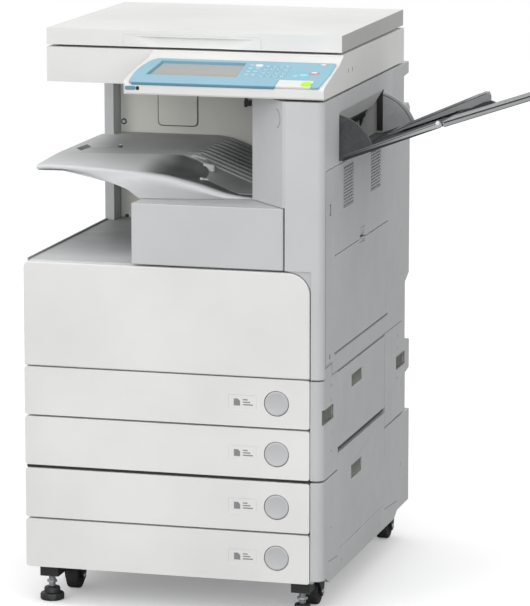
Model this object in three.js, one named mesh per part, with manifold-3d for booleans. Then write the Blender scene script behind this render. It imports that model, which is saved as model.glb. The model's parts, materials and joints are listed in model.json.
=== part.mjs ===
// A floor-standing office photocopier: printing unit on a two-cassette pedestal, with a reader and a
// platen lid on top, a control panel, an output bay under the reader and a side exit tray.
// Millimetres. X runs to the right, Y to the back and Z up, with the floor at z = 0.
import * as THREE from "three";
import { mergeVertices } from "three/addons/utils/BufferGeometryUtils.js";
import Module from "manifold-3d";

const wasm = await Module();
wasm.setup();

// ---------------------------------------------------------------- driving dimensions
const SIDE = 282.5; // outer left and right faces
const FRONT = -340; // front faces of the door, the drawers and the toner cover
const FACE = 22; // thickness of those front pieces
const SEAM = 0.8; // gap between neighbouring covers
const COVER = 23.5; // thickness of the right-hand covers
const CORNER_RADIUS = 15; // rounded front-right corner
const COLUMN_LEFT = 259; // left edge of the corner column beside the drawers

const PEDESTAL_BOTTOM = 66;
const PEDESTAL_TOP = 259.5;
const MAIN_BOTTOM = 263.5;
const MAIN_TOP = 634;
const SHELF_TOP = 643;
const PILLAR_TOP = 951;
const READER_BOTTOM = 955.5;
const READER_TOP = 1020;
const LID_BOTTOM = 1024.3;
const LID_TOP = 1055;

const BAY_BACK = 200; // front face of the inner back wall
const FRAME_BACK = 280;
const PEDESTAL_BACK = 352;

// Vertical spans of the four drawer fronts, from the top one down.
const DRAWERS = [
  [357.8, 447.2],
  [263.5, 354.2],
  [164.8, 257],
  [70.5, 161.2],
];
const DRAWER_RIGHT = 257.6;
const TRAY_LEFT = -252;
const TRAY_RIGHT = 242;
const TRAY_BACK = 190;
const TRAY_WALL = 4;
const BUTTON_X = 196;
const BUTTON_RADIUS = 22.5;
const BUTTON_TRAVEL_ROOM = 12; // depth of the round pocket behind each button

const DOOR_BOTTOM = 449.5;
const DOOR_TOP = 642.4;
const DOOR_CORNER = 40; // big radius at the door's top right
const DOOR_SMALL_CORNER = 10;

const BLOCK_LEFT = -76; // toner block under the inner tray
const BLOCK_RIGHT = 208;
const BLOCK_TOP = 758;
const BLOCK_STEP = 750; // lower top face that carries the inner tray
const BLOCK_BACK = -98;
const BOTTLE_X = 66;
const BOTTLE_Z = 700;
const BOTTLE_RADIUS = 38;

const PILLAR_LEFT = 211;
const PILLAR_INNER = 126; // left face of the exit tower
const PILLAR_INNER_FRONT = -247;
const SIDE_SEAM = 826; // height of the seam below the side exit frame
const DOOR_FRONT_EDGE = -269.4; // front edge of the right door
const SIDE_STEP = 472;

const EXIT_FRONT = -226;
const EXIT_BACK = 122;
const EXIT_BOTTOM = 831;
const EXIT_TOP = 921;

const PANEL_EDGE = { y: -337, z: 977 }; // front edge of the sloping control panel
const PANEL_REAR = { y: -220, z: 1007 };
const PANEL_SLOPE = Math.atan2(PANEL_REAR.z - PANEL_EDGE.z, PANEL_REAR.y - PANEL_EDGE.y);
const PANEL_LEFT = -91;
const FOOT_Y = -300;
const FEET_X = [-246, 235];
const CASTER_HEIGHT = 65.4;

// ---------------------------------------------------------------- geometry helpers
function toSolid(geometry) {
  const bare = geometry.clone();
  bare.deleteAttribute("normal");
  bare.deleteAttribute("uv");
  const merged = mergeVertices(bare, 1e-4);
  return new wasm.Manifold(
    new wasm.Mesh({
      numProp: 3,
      vertProperties: merged.attributes.position.array,
      triVerts: new Uint32Array(merged.index.array),
    }),
  );
}

function toGeometry(solid) {
  const mesh = solid.getMesh();
  const geometry = new THREE.BufferGeometry();
  geometry.setAttribute("position", new THREE.BufferAttribute(mesh.vertProperties, 3));
  geometry.setIndex(new THREE.BufferAttribute(mesh.triVerts, 1));
  geometry.computeVertexNormals();
  return geometry;
}

function join(first, ...rest) {
  return toGeometry(rest.reduce((sum, g) => sum.add(toSolid(g)), toSolid(first)));
}

function cut(first, ...rest) {
  return toGeometry(rest.reduce((left, g) => left.subtract(toSolid(g)), toSolid(first)));
}

function common(first, second) {
  return toGeometry(toSolid(first).intersect(toSolid(second)));
}

// A box from its low and high limits along X, Y and Z.
function box([x0, x1], [y0, y1], [z0, z1]) {
  return new THREE.BoxGeometry(x1 - x0, y1 - y0, z1 - z0).translate(
    (x0 + x1) / 2,
    (y0 + y1) / 2,
    (z0 + z1) / 2,
  );
}

function extrude(points, depth) {
  const shape = new THREE.Shape(points.map(([a, b]) => new THREE.Vector2(a, b)));
  return new THREE.ExtrudeGeometry(shape, { depth, bevelEnabled: false, curveSegments: 6 });
}

// Prisms: an outline of [y, z], [x, z] or [x, y] points, run along the remaining axis.
function prismX(outline, [x0, x1]) {
  const toX = new THREE.Matrix4().makeBasis(
    new THREE.Vector3(0, 1, 0),
    new THREE.Vector3(0, 0, 1),
    new THREE.Vector3(1, 0, 0),
  );
  return extrude(outline, x1 - x0).applyMatrix4(toX.setPosition(x0, 0, 0));
}

function prismY(outline, [y0, y1]) {
  const toY = new THREE.Matrix4().makeBasis(
    new THREE.Vector3(1, 0, 0),
    new THREE.Vector3(0, 0, 1),
    new THREE.Vector3(0, -1, 0),
  );
  return extrude(outline, y1 - y0).applyMatrix4(toY.setPosition(0, y1, 0));
}

function prismZ(outline, [z0, z1]) {
  return extrude(outline, z1 - z0).translate(0, 0, z0);
}

// A round bar along "x", "y" or "z" between two limits, centred on the other two coordinates.
function bar(axis, [from, to], [a, b], radius, sides = 20) {
  const rod = new THREE.CylinderGeometry(radius, radius, to - from, sides);
  const middle = (from + to) / 2;
  if (axis === "x") return rod.rotateZ(Math.PI / 2).translate(middle, a, b);
  if (axis === "y") return rod.translate(a, middle, b);
  return rod.rotateX(Math.PI / 2).translate(a, b, middle);
}

// Points of a circular arc, in degrees, both ends included.
function arc([cx, cy], radius, fromDegrees, toDegrees, steps = 5) {
  return Array.from({ length: steps + 1 }, (_, i) => {
    const angle = THREE.MathUtils.degToRad(
      fromDegrees + ((toDegrees - fromDegrees) * i) / steps,
    );
    return [cx + radius * Math.cos(angle), cy + radius * Math.sin(angle)];
  });
}

// A closed solid through a row of flat cross sections that all have the same number of points.
function loft(sections) {
  const count = sections[0].length;
  const indices = [];
  for (let s = 0; s + 1 < sections.length; s += 1) {
    for (let i = 0; i < count; i += 1) {
      const a = s * count + i;
      const b = s * count + ((i + 1) % count);
      indices.push(a, b, a + count, b, b + count, a + count);
    }
  }
  const capPoints = sections[0].map(([, y, z]) => new THREE.Vector2(y, z));
  const endPoints = sections.at(-1).map(([, y, z]) => new THREE.Vector2(y, z));
  const last = (sections.length - 1) * count;
  for (const [a, b, c] of THREE.ShapeUtils.triangulateShape(capPoints, [])) {
    indices.push(a, c, b);
  }
  for (const [a, b, c] of THREE.ShapeUtils.triangulateShape(endPoints, [])) {
    indices.push(last + a, last + b, last + c);
  }
  const geometry = new THREE.BufferGeometry();
  geometry.setAttribute("position", new THREE.Float32BufferAttribute(sections.flat(2), 3));
  geometry.setIndex(indices);
  return geometry;
}

// ---------------------------------------------------------------- finishes
const WHITE = { color: 0xe4e4e2, roughness: 0.45 };
const LIGHT_GREY = { color: 0xc4c6c8, roughness: 0.5 };
const SIDE_GREY = { color: 0xb0b2b4, roughness: 0.5 };
const WALL_GREY = { color: 0xaeb0a8, roughness: 0.6 };
const TRAY_GREY = { color: 0x74777a, roughness: 0.6 };
const DARK_GREY = { color: 0x4a4c4e, roughness: 0.55 };
const BLACK = { color: 0x1b1c1d, roughness: 0.5 };
const STEEL = { color: 0x9a9d9f, roughness: 0.4, metalness: 0.9 };
const PANEL_BLUE = { color: 0x8fbdd0, roughness: 0.4 };
const LIME = { color: 0xb8ff00, roughness: 0.35 };
const CORAL = { color: 0xe08878, roughness: 0.4 };
const SCREEN = { color: 0x9da3a0, roughness: 0.2 };
const GLASS = { color: 0x9fb0b4, roughness: 0.05, transparent: true, opacity: 0.5 };

const photocopier = new THREE.Group();

function addPart(name, geometry, finish, parent = photocopier) {
  const mesh = new THREE.Mesh(geometry, new THREE.MeshStandardMaterial(finish));
  mesh.name = name;
  parent.add(mesh);
  return mesh;
}

// ---------------------------------------------------------------- frames
function trayOpening([low, high]) {
  return box([TRAY_LEFT - 2, TRAY_RIGHT + 2], [FRONT, TRAY_BACK + 10], [low + 5, high - 5]);
}

function pedestalFrame() {
  const body = box(
    [-SIDE, COLUMN_LEFT - SEAM],
    [FRONT + FACE + SEAM, PEDESTAL_BACK],
    [PEDESTAL_BOTTOM, PEDESTAL_TOP],
  );
  const rearHollow = box([-260, 236], [TRAY_BACK + 20, 336], [86, 244]);
  const rearMouth = box([-60, 60], [330, PEDESTAL_BACK + 1], [100, 140]);
  const bossBottom = 47;
  const bosses = FEET_X.map((x) =>
    box([x - 17, x + 17], [FOOT_Y - 16, FOOT_Y + 18], [bossBottom, PEDESTAL_BOTTOM + 1]),
  );
  const boltHoles = FEET_X.map((x) => bar("z", [bossBottom - 1, 74], [x, FOOT_Y], 8));
  return cut(
    join(body, ...bosses),
    rearHollow,
    rearMouth,
    ...DRAWERS.slice(2).map(trayOpening),
    ...boltHoles,
  );
}

function mainFrame() {
  const right = COLUMN_LEFT - 1.5;
  const left = -263;
  const body = box([left, right], [FRONT + FACE + 1, FRAME_BACK], [MAIN_BOTTOM, MAIN_TOP]);
  const rearColumn = box([left, right], [BAY_BACK + 13, FRAME_BACK], [MAIN_TOP - 1, PILLAR_TOP - 1]);
  const fixingUnit = box([140, right], [-97, BAY_BACK - 1], [MAIN_TOP - 1, 815]);
  const doorBay = box([-240, 236], [FRONT, -60], [456, 626]);
  const rearBay = box([-240, 236], [BAY_BACK + 24, FRAME_BACK + 1], [280, 930]);
  const middleBay = box([-240, 236], [-50, BAY_BACK + 4], [460, 620]);
  const middleMouth = box([-200, 196], [-70, -40], [480, 600]);
  return cut(
    join(body, rearColumn, fixingUnit),
    doorBay,
    rearBay,
    middleBay,
    middleMouth,
    ...DRAWERS.slice(0, 2).map(trayOpening),
  );
}

function leftCover() {
  const plate = box([-SIDE, -264], [FRONT + FACE + 1, FRAME_BACK], [MAIN_BOTTOM, MAIN_TOP + 0.4]);
  const post = box([-SIDE, -264], [158, FRAME_BACK], [MAIN_TOP, PILLAR_TOP]);
  return join(plate, post);
}

function innerBackWall() {
  return box([-263, PILLAR_INNER - SEAM], [BAY_BACK, BAY_BACK + 12], [MAIN_TOP + 1.4, PILLAR_TOP]);
}

// Outline of the machine's back, bottom to top: recesses and bulges of the rear cover.
const REAR_OUTLINE = [
  [315, MAIN_BOTTOM],
  [315, 336],
  [349, 342],
  [349, 400],
  [311, 407],
  [311, 519],
  [344, 533],
  [344, 860],
  [332, 870],
  [291, 872],
  [291, 925],
  [331, 928],
  [331, PILLAR_TOP],
];

function rearCover() {
  const inner = FRAME_BACK + SEAM;
  return prismX(
    [[inner, MAIN_BOTTOM], ...REAR_OUTLINE, [inner, PILLAR_TOP]],
    [-SIDE, COLUMN_LEFT - SEAM],
  );
}

// ---------------------------------------------------------------- right-hand covers
const RIGHT_SKIN = [SIDE - COVER, SIDE];
const OUTSIDE = SIDE + 5;

function rearRightCover() {
  const inner = BAY_BACK + SEAM;
  const plate = prismX([[inner, MAIN_BOTTOM], ...REAR_OUTLINE, [inner, PILLAR_TOP]], RIGHT_SKIN);
  const grip = box([SIDE - 12, OUTSIDE], [238, 309], [357, 383]);
  return cut(plate, grip);
}

// Plan outline of the rounded front-right corner, from the front face to a line at yBack.
function cornerOutline(xLeft, yBack) {
  const centre = [SIDE - CORNER_RADIUS, FRONT + CORNER_RADIUS];
  return [
    [xLeft, FRONT],
    ...arc(centre, CORNER_RADIUS, -90, 0),
    [SIDE, yBack],
    [xLeft, yBack],
  ];
}

const UPPER_PAPER_DOOR = { y: [-230, 140], z: [303, 443.4], handle: [395, 418] };
const LOWER_PAPER_DOOR = { y: [-227, 144], z: [110, 292], handle: [220, 246] };
const PAPER_DOOR_THICKNESS = 12.5;

function paperDoorRecess({ y, z }, from, to) {
  return box([SIDE - PAPER_DOOR_THICKNESS - 1.5, OUTSIDE], [y[0] - 1.5, y[1] + 1.5], [from, to]);
}

function lowerRightCover() {
  const back = BAY_BACK - SEAM;
  const top = 446;
  const corner = prismZ(cornerOutline(COLUMN_LEFT, -300), [MAIN_BOTTOM, top]);
  const plate = box(RIGHT_SKIN, [-301, back], [MAIN_BOTTOM, top]);
  const step = box(RIGHT_SKIN, [-321, -271], [top - 1, SIDE_STEP - SEAM]);
  const grip = box([SIDE - 12, OUTSIDE], [-334, -263], [366, 393]);
  const upperRecess = paperDoorRecess(UPPER_PAPER_DOOR, UPPER_PAPER_DOOR.z[0] - 1, top + 1);
  const lowerRecess = paperDoorRecess(LOWER_PAPER_DOOR, MAIN_BOTTOM - 1, UPPER_PAPER_DOOR.z[0]);
  return cut(join(corner, plate, step), grip, upperRecess, lowerRecess);
}

function pedestalRightCover() {
  const corner = prismZ(cornerOutline(COLUMN_LEFT, -300), [76, PEDESTAL_TOP]);
  const plate = prismX(
    [
      [-312, 76],
      [-290, 65],
      [228, 62],
      [256, 74],
      [PEDESTAL_BACK, 74],
      [PEDESTAL_BACK, PEDESTAL_TOP],
      [-312, PEDESTAL_TOP],
    ],
    RIGHT_SKIN,
  );
  const recess = paperDoorRecess(LOWER_PAPER_DOOR, LOWER_PAPER_DOOR.z[0] - 1, PEDESTAL_TOP + 1);
  return cut(join(corner, plate), recess);
}

function paperDoor({ y, z, handle }) {
  const plate = box([SIDE - PAPER_DOOR_THICKNESS, SIDE], y, z);
  const grip = box([SIDE - 9, OUTSIDE], [-124, -40], handle);
  return cut(plate, grip);
}

function rightFrontStrip() {
  return box(RIGHT_SKIN, [-321, -271], [SIDE_STEP, SIDE_SEAM - SEAM]);
}

const BYPASS = { y: [-254, 163], z: [484, 662], thickness: 9.5 };
const VENTS = [
  { y: [-192, -112], z: [739, 818] },
  { y: [20, 101], z: [739, 818] },
];

function rightDoor() {
  const plate = box(RIGHT_SKIN, [DOOR_FRONT_EDGE, BAY_BACK - SEAM], [446.8, SIDE_SEAM - SEAM]);
  const trayPocket = box(
    [SIDE - BYPASS.thickness - 1, OUTSIDE],
    [BYPASS.y[0] - 1, BYPASS.y[1] + 1],
    [BYPASS.z[0] - 1, BYPASS.z[1] + 1.5],
  );
  const ventPockets = VENTS.map(({ y, z }) => box([SIDE - 4, OUTSIDE], y, z));
  const fingerScoop = box([SIDE - 8, OUTSIDE], [-63, -21], [BYPASS.z[1], 684]);
  return cut(plate, trayPocket, fingerScoop, ...ventPockets);
}

function bypassTray() {
  const plate = box([SIDE - BYPASS.thickness, SIDE], BYPASS.y, BYPASS.z);
  const notch = box([SIDE - 5, OUTSIDE], [-64, -20], [655, 670]);
  return cut(plate, notch);
}

// The corner column, the slanted face beside the bay, the exit tower's wall and the side exit frame.
function rightPillar() {
  const cornerBack = -322;
  const column = prismZ(
    [
      ...cornerOutline(PILLAR_LEFT, cornerBack).slice(0, -1),
      [COLUMN_LEFT, cornerBack],
      [COLUMN_LEFT, FRONT + FACE],
      [PILLAR_LEFT, FRONT + FACE],
    ],
    [645.8, PILLAR_TOP],
  );
  const lowerColumn = prismZ(cornerOutline(COLUMN_LEFT + SEAM, cornerBack), [449.2, 646.5]);
  const overBlock = [BLOCK_TOP + 1, PILLAR_TOP];
  const slantedFace = prismZ(
    [
      [PILLAR_INNER, PILLAR_INNER_FRONT],
      [206, -337],
      [213, -337],
      [213, -326],
      [134, -238],
      [PILLAR_INNER, -238],
    ],
    overBlock,
  );
  const wall = [PILLAR_INNER, PILLAR_INNER + 6];
  const upperWall = box(wall, [-240, BAY_BACK - SEAM], overBlock);
  const lowerWall = box(wall, [BLOCK_BACK + 1, BAY_BACK - SEAM], [SHELF_TOP + 0.8, overBlock[0] + 1]);
  const paperSlot = box([PILLAR_INNER - 1, wall[1] + 1], [-150, 170], [826, 852]);
  const sideFrame = box(
    [SIDE - 13, SIDE],
    [cornerBack - 1, BAY_BACK - SEAM],
    [SIDE_SEAM + 0.4, PILLAR_TOP],
  );
  const exitOpening = box(
    [SIDE - 14, OUTSIDE],
    [EXIT_FRONT, EXIT_BACK],
    [EXIT_BOTTOM, EXIT_TOP],
  );
  return cut(
    join(column, lowerColumn, slantedFace, upperWall, lowerWall, sideFrame),
    paperSlot,
    exitOpening,
  );
}

// ---------------------------------------------------------------- shelf, toner block, inner tray
function shelfCover() {
  const front = FRONT + FACE + 1.5;
  const plate = box([-SIDE, 138], [front, 157], [MAIN_TOP + 1, SHELF_TOP]);
  const backPlate = box([-263, 124], [156, BAY_BACK - SEAM], [MAIN_TOP + 1, SHELF_TOP]);
  const blockX = [BLOCK_LEFT + 2, BLOCK_RIGHT - 0.5];
  const block = box(blockX, [front, BLOCK_BACK], [MAIN_TOP + 1, BLOCK_STEP]);
  const blockFront = box(blockX, [front, -238], [BLOCK_STEP - 1, BLOCK_TOP]);
  const bore = bar("y", [FRONT, -125], [BOTTLE_X, BOTTLE_Z], BOTTLE_RADIUS + 3, 24);
  return cut(join(plate, backPlate, block, blockFront), bore);
}

function tonerCover() {
  return box([BLOCK_LEFT, BLOCK_RIGHT], [FRONT, FRONT + FACE], [646, BLOCK_TOP]);
}

function tonerBottle() {
  const body = bar("y", [-306, -132], [BOTTLE_X, BOTTLE_Z], BOTTLE_RADIUS, 24);
  const cap = bar("y", [-315, -305], [BOTTLE_X, BOTTLE_Z], BOTTLE_RADIUS - 12, 16);
  return join(body, cap);
}

// Cross sections of the inner tray along X: its top falls to the right, where it drops into the tower.
// [x, back y, top z at the back, at the plate's front line, at the lip, fascia y and z, underside z]
const INNER_TRAY_SECTIONS = [
  [-288, 156, 810, 809, 805, -231, 795, 793],
  [-263.7, 157, 811, 810, 805, -236, 799, 797],
  [-263.4, 199, 811, 810, 805, -236, 799, 797],
  [-180, 199, 812, 810, 801, -237, 789, 787],
  [-110, 199, 812, 810, 794, -246, 768, 766],
  [-74, 199, 812, 810, 789, -290, 758.9, 751],
  [-24, 199, 803, 801, 782, -279, 758.9, 751],
  [24, 199, 787, 784, 773, -269, 758.9, 751],
  [71, 199, 771, 769, 764, -259, 758.9, 751],
  [125.2, 199, 758, 758, 761, -248, 758.9, 751],
];

function innerTray() {
  const lipY = -235;
  const plateFrontY = -100;
  const stepY = -237; // the underside drops here, behind the block's raised front
  return loft(
    INNER_TRAY_SECTIONS.map(([x, backY, backZ, plateZ, lipZ, fasciaY, fasciaZ, underZ]) => [
      [x, backY, backZ],
      [x, plateFrontY, plateZ],
      [x, Math.max(lipY, fasciaY), lipZ],
      [x, fasciaY, fasciaZ],
      [x, Math.max(stepY, fasciaY + 4) - 0.2, fasciaZ - 0.4],
      [x, Math.max(stepY, fasciaY + 4), underZ],
      [x, backY, underZ],
    ]),
  );
}

// ---------------------------------------------------------------- inside the printing unit
function drumUnit() {
  const body = box([-150, 90], [-306, -80], [505, 600]);
  const handle = box([-60, 0], [-315, -305], [535, 570]);
  return join(body, handle);
}

function exitRollers() {
  const axis = [245, 902];
  const shaft = bar("y", [-215, 112], axis, 4, 12);
  const rollers = [-180, -110, -40, 30, 85].map((y) => bar("y", [y - 9, y + 9], axis, 10, 16));
  return join(shaft, ...rollers);
}

// ---------------------------------------------------------------- cassettes
function cassetteFront([low, high]) {
  const plate = box([-SIDE, DRAWER_RIGHT], [FRONT, FRONT + FACE - 0.5], [low, high]);
  const pocket = bar(
    "y",
    [FRONT - 1, FRONT + BUTTON_TRAVEL_ROOM],
    [BUTTON_X, (low + high) / 2],
    BUTTON_RADIUS + 1,
    32,
  );
  return cut(plate, pocket);
}

function cassetteTray([low, high]) {
  const front = FRONT + FACE;
  const bottom = low + 8;
  const top = high - 14;
  const body = box([TRAY_LEFT, TRAY_RIGHT], [front, TRAY_BACK], [bottom, top]);
  const paperSpace = box(
    [TRAY_LEFT + TRAY_WALL, TRAY_RIGHT - TRAY_WALL],
    [front + TRAY_WALL, TRAY_BACK - TRAY_WALL],
    [bottom + 3, top + 1],
  );
  return cut(body, paperSpace);
}

function cassetteButton([low, high]) {
  return bar("y", [FRONT - 1, FRONT + 8], [BUTTON_X, (low + high) / 2], BUTTON_RADIUS, 32);
}

function frontDoor() {
  const outline = [
    [-SIDE, DOOR_BOTTOM],
    [DRAWER_RIGHT, DOOR_BOTTOM],
    ...arc([DRAWER_RIGHT - DOOR_CORNER, DOOR_TOP - DOOR_CORNER], DOOR_CORNER, 0, 90, 8),
    ...arc([DOOR_SMALL_CORNER - SIDE, DOOR_TOP - DOOR_SMALL_CORNER], DOOR_SMALL_CORNER, 90, 180, 3),
  ];
  return prismY(outline, [FRONT, FRONT + FACE]);
}

// ---------------------------------------------------------------- reader and lid
const READER_FRONT = -196;
const READER_BACK = 287;
const GLASS_X = [-221, 221];
const GLASS_Y = [-116, 206];

function grow([low, high], amount) {
  return [low - amount, high + amount];
}

function readerHousing() {
  const body = box([-SIDE + 1.5, SIDE], [READER_FRONT, READER_BACK], [READER_BOTTOM, READER_TOP]);
  const panelProfile = [
    [FRONT, READER_BOTTOM],
    [FRONT, PANEL_EDGE.z - 3],
    [PANEL_EDGE.y, PANEL_EDGE.z],
    [PANEL_REAR.y, PANEL_REAR.z],
    [READER_FRONT - 1, READER_TOP - 2],
    [READER_FRONT + 4, READER_TOP],
    [READER_FRONT + 4, READER_BOTTOM],
  ];
  const panelPlan = [
    [PANEL_LEFT + 8, FRONT],
    [SIDE, FRONT],
    [SIDE, READER_FRONT + 4],
    [PANEL_LEFT + 16, READER_FRONT + 4],
    [PANEL_LEFT + 1, FRONT + 40],
    [PANEL_LEFT, FRONT + 9],
    [PANEL_LEFT + 2.5, FRONT + 3],
  ];
  const panel = common(
    prismX(panelProfile, [PANEL_LEFT, SIDE]),
    prismZ(panelPlan, [READER_BOTTOM - 1, READER_TOP + 1]),
  );
  const scanSpace = box(grow(GLASS_X, -7), grow(GLASS_Y, -7), [968, READER_TOP + 1]);
  const glassSeat = box(grow(GLASS_X, 0.8), grow(GLASS_Y, 0.8), [1015.4, READER_TOP + 1]);
  return cut(join(body, panel), scanSpace, glassSeat);
}

function scanCarriage() {
  const beam = box([-206, -166], [-104, 194], [974, 1008]);
  const lampSlot = box([-190, -182], [-98, 188], [1000, 1009]);
  return cut(beam, lampSlot);
}

const HINGE_AXIS = [298, 1016]; // y and z of the lid's hinge line
const HINGE_X = 200;

function lidHinge(side) {
  const centre = side * HINGE_X;
  const plate = box([centre - 21, centre + 21], [READER_BACK + 0.6, 294], [962, 1009.5]);
  const neck = box([centre - 20, centre + 20], [READER_BACK + 2, 303], [996, 1014]);
  const barrel = bar("x", [centre - 20, centre + 20], HINGE_AXIS, 6, 16);
  return join(plate, neck, barrel);
}

const PAD_X = [-241, 241];
const PAD_Y = [-138, 230];

function platenLid() {
  const shell = box([-SIDE + 1.5, SIDE - 2.5], [READER_FRONT, 290], [LID_BOTTOM, LID_TOP]);
  const ears = [-HINGE_X, HINGE_X].flatMap((x) =>
    [-25, 25].map((offset) =>
      box([x + offset - 3.5, x + offset + 3.5], [289.4, 303.5], [1010, 1034]),
    ),
  );
  const earRoots = [-HINGE_X, HINGE_X].map((x) => box([x - 28, x + 28], [285, 303.5], [1026, 1036]));
  const padSpace = box(grow(PAD_X, 1), grow(PAD_Y, 1), [LID_BOTTOM - 1, 1031.5]);
  const fingerScoop = box([-103, 108], [READER_FRONT - 1, READER_FRONT + 9], [LID_BOTTOM - 1, 1041]);
  return cut(join(shell, ...ears, ...earRoots), padSpace, fingerScoop);
}

// ---------------------------------------------------------------- control panel, in its own tilted frame
// X as before, Y up the slope from the front edge, Z out of the panel.
const SCREEN_WINDOW = { x: [-50, 112], y: [34, 104] };
const KEY_TRAVEL = 0.8;
const NUMBER_MAT = { x: [149, 201], y: [37, 105] };
const FUNCTION_MAT = { x: [119, 147], y: [42, 105] };
const START_KEY = { x: 247, y: 17, rx: 8.5, ry: 8.5 };
const STOP_KEY = { x: 249, y: 67, rx: 9, ry: 5 };
const POWER_KEY = { x: 256, y: 108, rx: 7, ry: 4.5 };

function ellipse({ x, y, rx, ry }, margin, [z0, z1]) {
  const outline = arc([0, 0], 1, 0, 345, 23).map(([a, b]) => [
    x + a * (rx + margin),
    y + b * (ry + margin),
  ]);
  return prismZ(outline, [z0, z1]);
}

function panelFascia() {
  const outline = [
    [-77, 2],
    [192, 2],
    [192, 32],
    [259, 32],
    [259, 2],
    [272, 2],
    [277, 60],
    [277, 118],
    [-64, 118],
    [-73, 90],
    [-79, 55],
  ];
  const sheet = prismZ(outline, [0.3, 2.8]);
  const window = ({ x, y }, margin = 0) => box(grow(x, margin), grow(y, margin), [-1, 4]);
  return cut(
    sheet,
    window(SCREEN_WINDOW),
    window(NUMBER_MAT),
    window(FUNCTION_MAT),
    ellipse(STOP_KEY, 0.7, [-1, 4]),
    ellipse(POWER_KEY, 0.7, [-1, 4]),
  );
}

// Keys standing on one rubber mat: rows and columns of raised pads joined by the mat.
function keyMat({ x, y }, columns, rows, keyWidth, keyHeight) {
  const sheet = box(grow(x, -0.8), grow(y, -0.8), [1.2, 2.2]);
  const stepX = (x[1] - x[0]) / columns;
  const stepY = (y[1] - y[0]) / rows;
  const keys = [];
  for (let c = 0; c < columns; c += 1) {
    for (let r = 0; r < rows; r += 1) {
      const cx = x[0] + stepX * (c + 0.5);
      const cy = y[0] + stepY * (r + 0.5);
      keys.push(
        box([cx - keyWidth / 2, cx + keyWidth / 2], [cy - keyHeight / 2, cy + keyHeight / 2], [2, 4.4]),
      );
    }
  }
  return join(sheet, ...keys);
}

function addControlPanel() {
  const panel = new THREE.Group();
  panel.position.set(0, FRONT, PANEL_EDGE.z - (PANEL_EDGE.y - FRONT) * Math.tan(PANEL_SLOPE));
  panel.rotation.x = PANEL_SLOPE;
  photocopier.add(panel);
  const keySpan = [KEY_TRAVEL + 0.4, 5];
  addPart("panel_fascia", panelFascia(), PANEL_BLUE, panel);
  addPart("touch_screen", box([-47, 109], [37, 101], [0.5, 1.6]), SCREEN, panel);
  addPart("number_keys", keyMat(NUMBER_MAT, 4, 4, 8.5, 9), WHITE, panel);
  addPart("function_keys", keyMat(FUNCTION_MAT, 2, 4, 10, 8), WHITE, panel);
  addPart("start_key", ellipse(START_KEY, 0, keySpan), LIME, panel);
  addPart("stop_key", ellipse(STOP_KEY, 0, keySpan), CORAL, panel);
  addPart("power_key", ellipse(POWER_KEY, 0, keySpan), WHITE, panel);
}

// ---------------------------------------------------------------- side exit tray
const TRAY_Y = [EXIT_FRONT + 2, EXIT_BACK - 2];
const FOLD = { x: 470, z: 910 }; // hinge line of the extension
const TRAY_END_X = 680;
const TRAY_THICKNESS = 9;
const EXTENSION_WIDTH = 100;
const EXTENSION_THICKNESS = 10.5;

function sideTray() {
  const inner = SIDE - 15;
  const plate = prismY(
    [
      [inner, 831.6],
      [290, 831.6],
      [FOLD.x - 1, FOLD.z - 1 - TRAY_THICKNESS],
      [FOLD.x - 1, FOLD.z - 1],
      [284, 839],
      [inner, 839],
    ],
    TRAY_Y,
  );
  const finOutline = [
    [inner, 836],
    [inner, 914],
    [284, 914],
    [301, 905],
    [317, 897],
    [332, 881],
    [344, 860],
    [330, 850],
  ];
  const fins = [TRAY_Y[0], TRAY_Y[1] - 2.5].map((y) => prismY(finOutline, [y, y + 2.5]));
  return join(plate, ...fins);
}

// A narrow bar along the tray's front edge.
function sideTrayExtension() {
  const rootZ = FOLD.z - 1;
  const endZ = 979.5;
  return prismY(
    [
      [FOLD.x + 0.5, rootZ - EXTENSION_THICKNESS],
      [TRAY_END_X, endZ - EXTENSION_THICKNESS],
      [TRAY_END_X, endZ],
      [FOLD.x + 0.5, rootZ],
    ],
    [TRAY_Y[0], TRAY_Y[0] + EXTENSION_WIDTH],
  );
}

const FLAP_Y = [-108, 8];
const FLAP_HINGE = { x: 345, z: 866 };

// A wedge that deepens towards its tip and clears the end of the tray below it.
function sideTrayFlap() {
  const tip = { x: 530, z: 950 };
  return prismY(
    [
      [FLAP_HINGE.x, FLAP_HINGE.z],
      [FOLD.x + 1, FOLD.z + 2.5],
      [tip.x + 9, tip.z - 21],
      [tip.x + 7, tip.z - 6],
      [tip.x, tip.z],
      [FLAP_HINGE.x, FLAP_HINGE.z + 3],
    ],
    FLAP_Y,
  );
}

// ---------------------------------------------------------------- casters and levelling feet
const WHEEL_RADIUS = 25;
const WHEEL_TRAIL = 16; // the wheel's axle sits behind the swivel line

function casterFork() {
  const top = CASTER_HEIGHT;
  const plate = bar("z", [top - 8, top], [0, 0], 17, 20);
  const bridge = box([-17.5, 17.5], [-10, 30], [53, top - 7]);
  const cheekOutline = [
    [-10, 60],
    [-8, 44],
    [WHEEL_TRAIL - 7, 17],
    [WHEEL_TRAIL + 7, 17],
    [30, 44],
    [30, 60],
  ];
  const cheeks = [-17.5, 14].map((x) => prismX(cheekOutline, [x, x + 3.5]));
  const axle = bar("x", [-17, 17], [WHEEL_TRAIL, WHEEL_RADIUS], 4, 12);
  return join(plate, bridge, ...cheeks, axle);
}

function casterWheel() {
  const centre = [WHEEL_TRAIL, WHEEL_RADIUS];
  return cut(bar("x", [-13, 13], centre, WHEEL_RADIUS, 28), bar("x", [-14, 14], centre, 5, 12));
}

function levellingFoot() {
  const profile = [
    [0, 0],
    [20, 0],
    [22.5, 3],
    [22.5, 16],
    [20, 21],
    [14, 24],
    [11, 29],
    [6.5, 30],
    [6.5, 60],
    [0, 60],
  ];
  const lathe = new THREE.LatheGeometry(
    profile.map(([r, z]) => new THREE.Vector2(r, z)),
    20,
  );
  return lathe.rotateX(Math.PI / 2);
}

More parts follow.
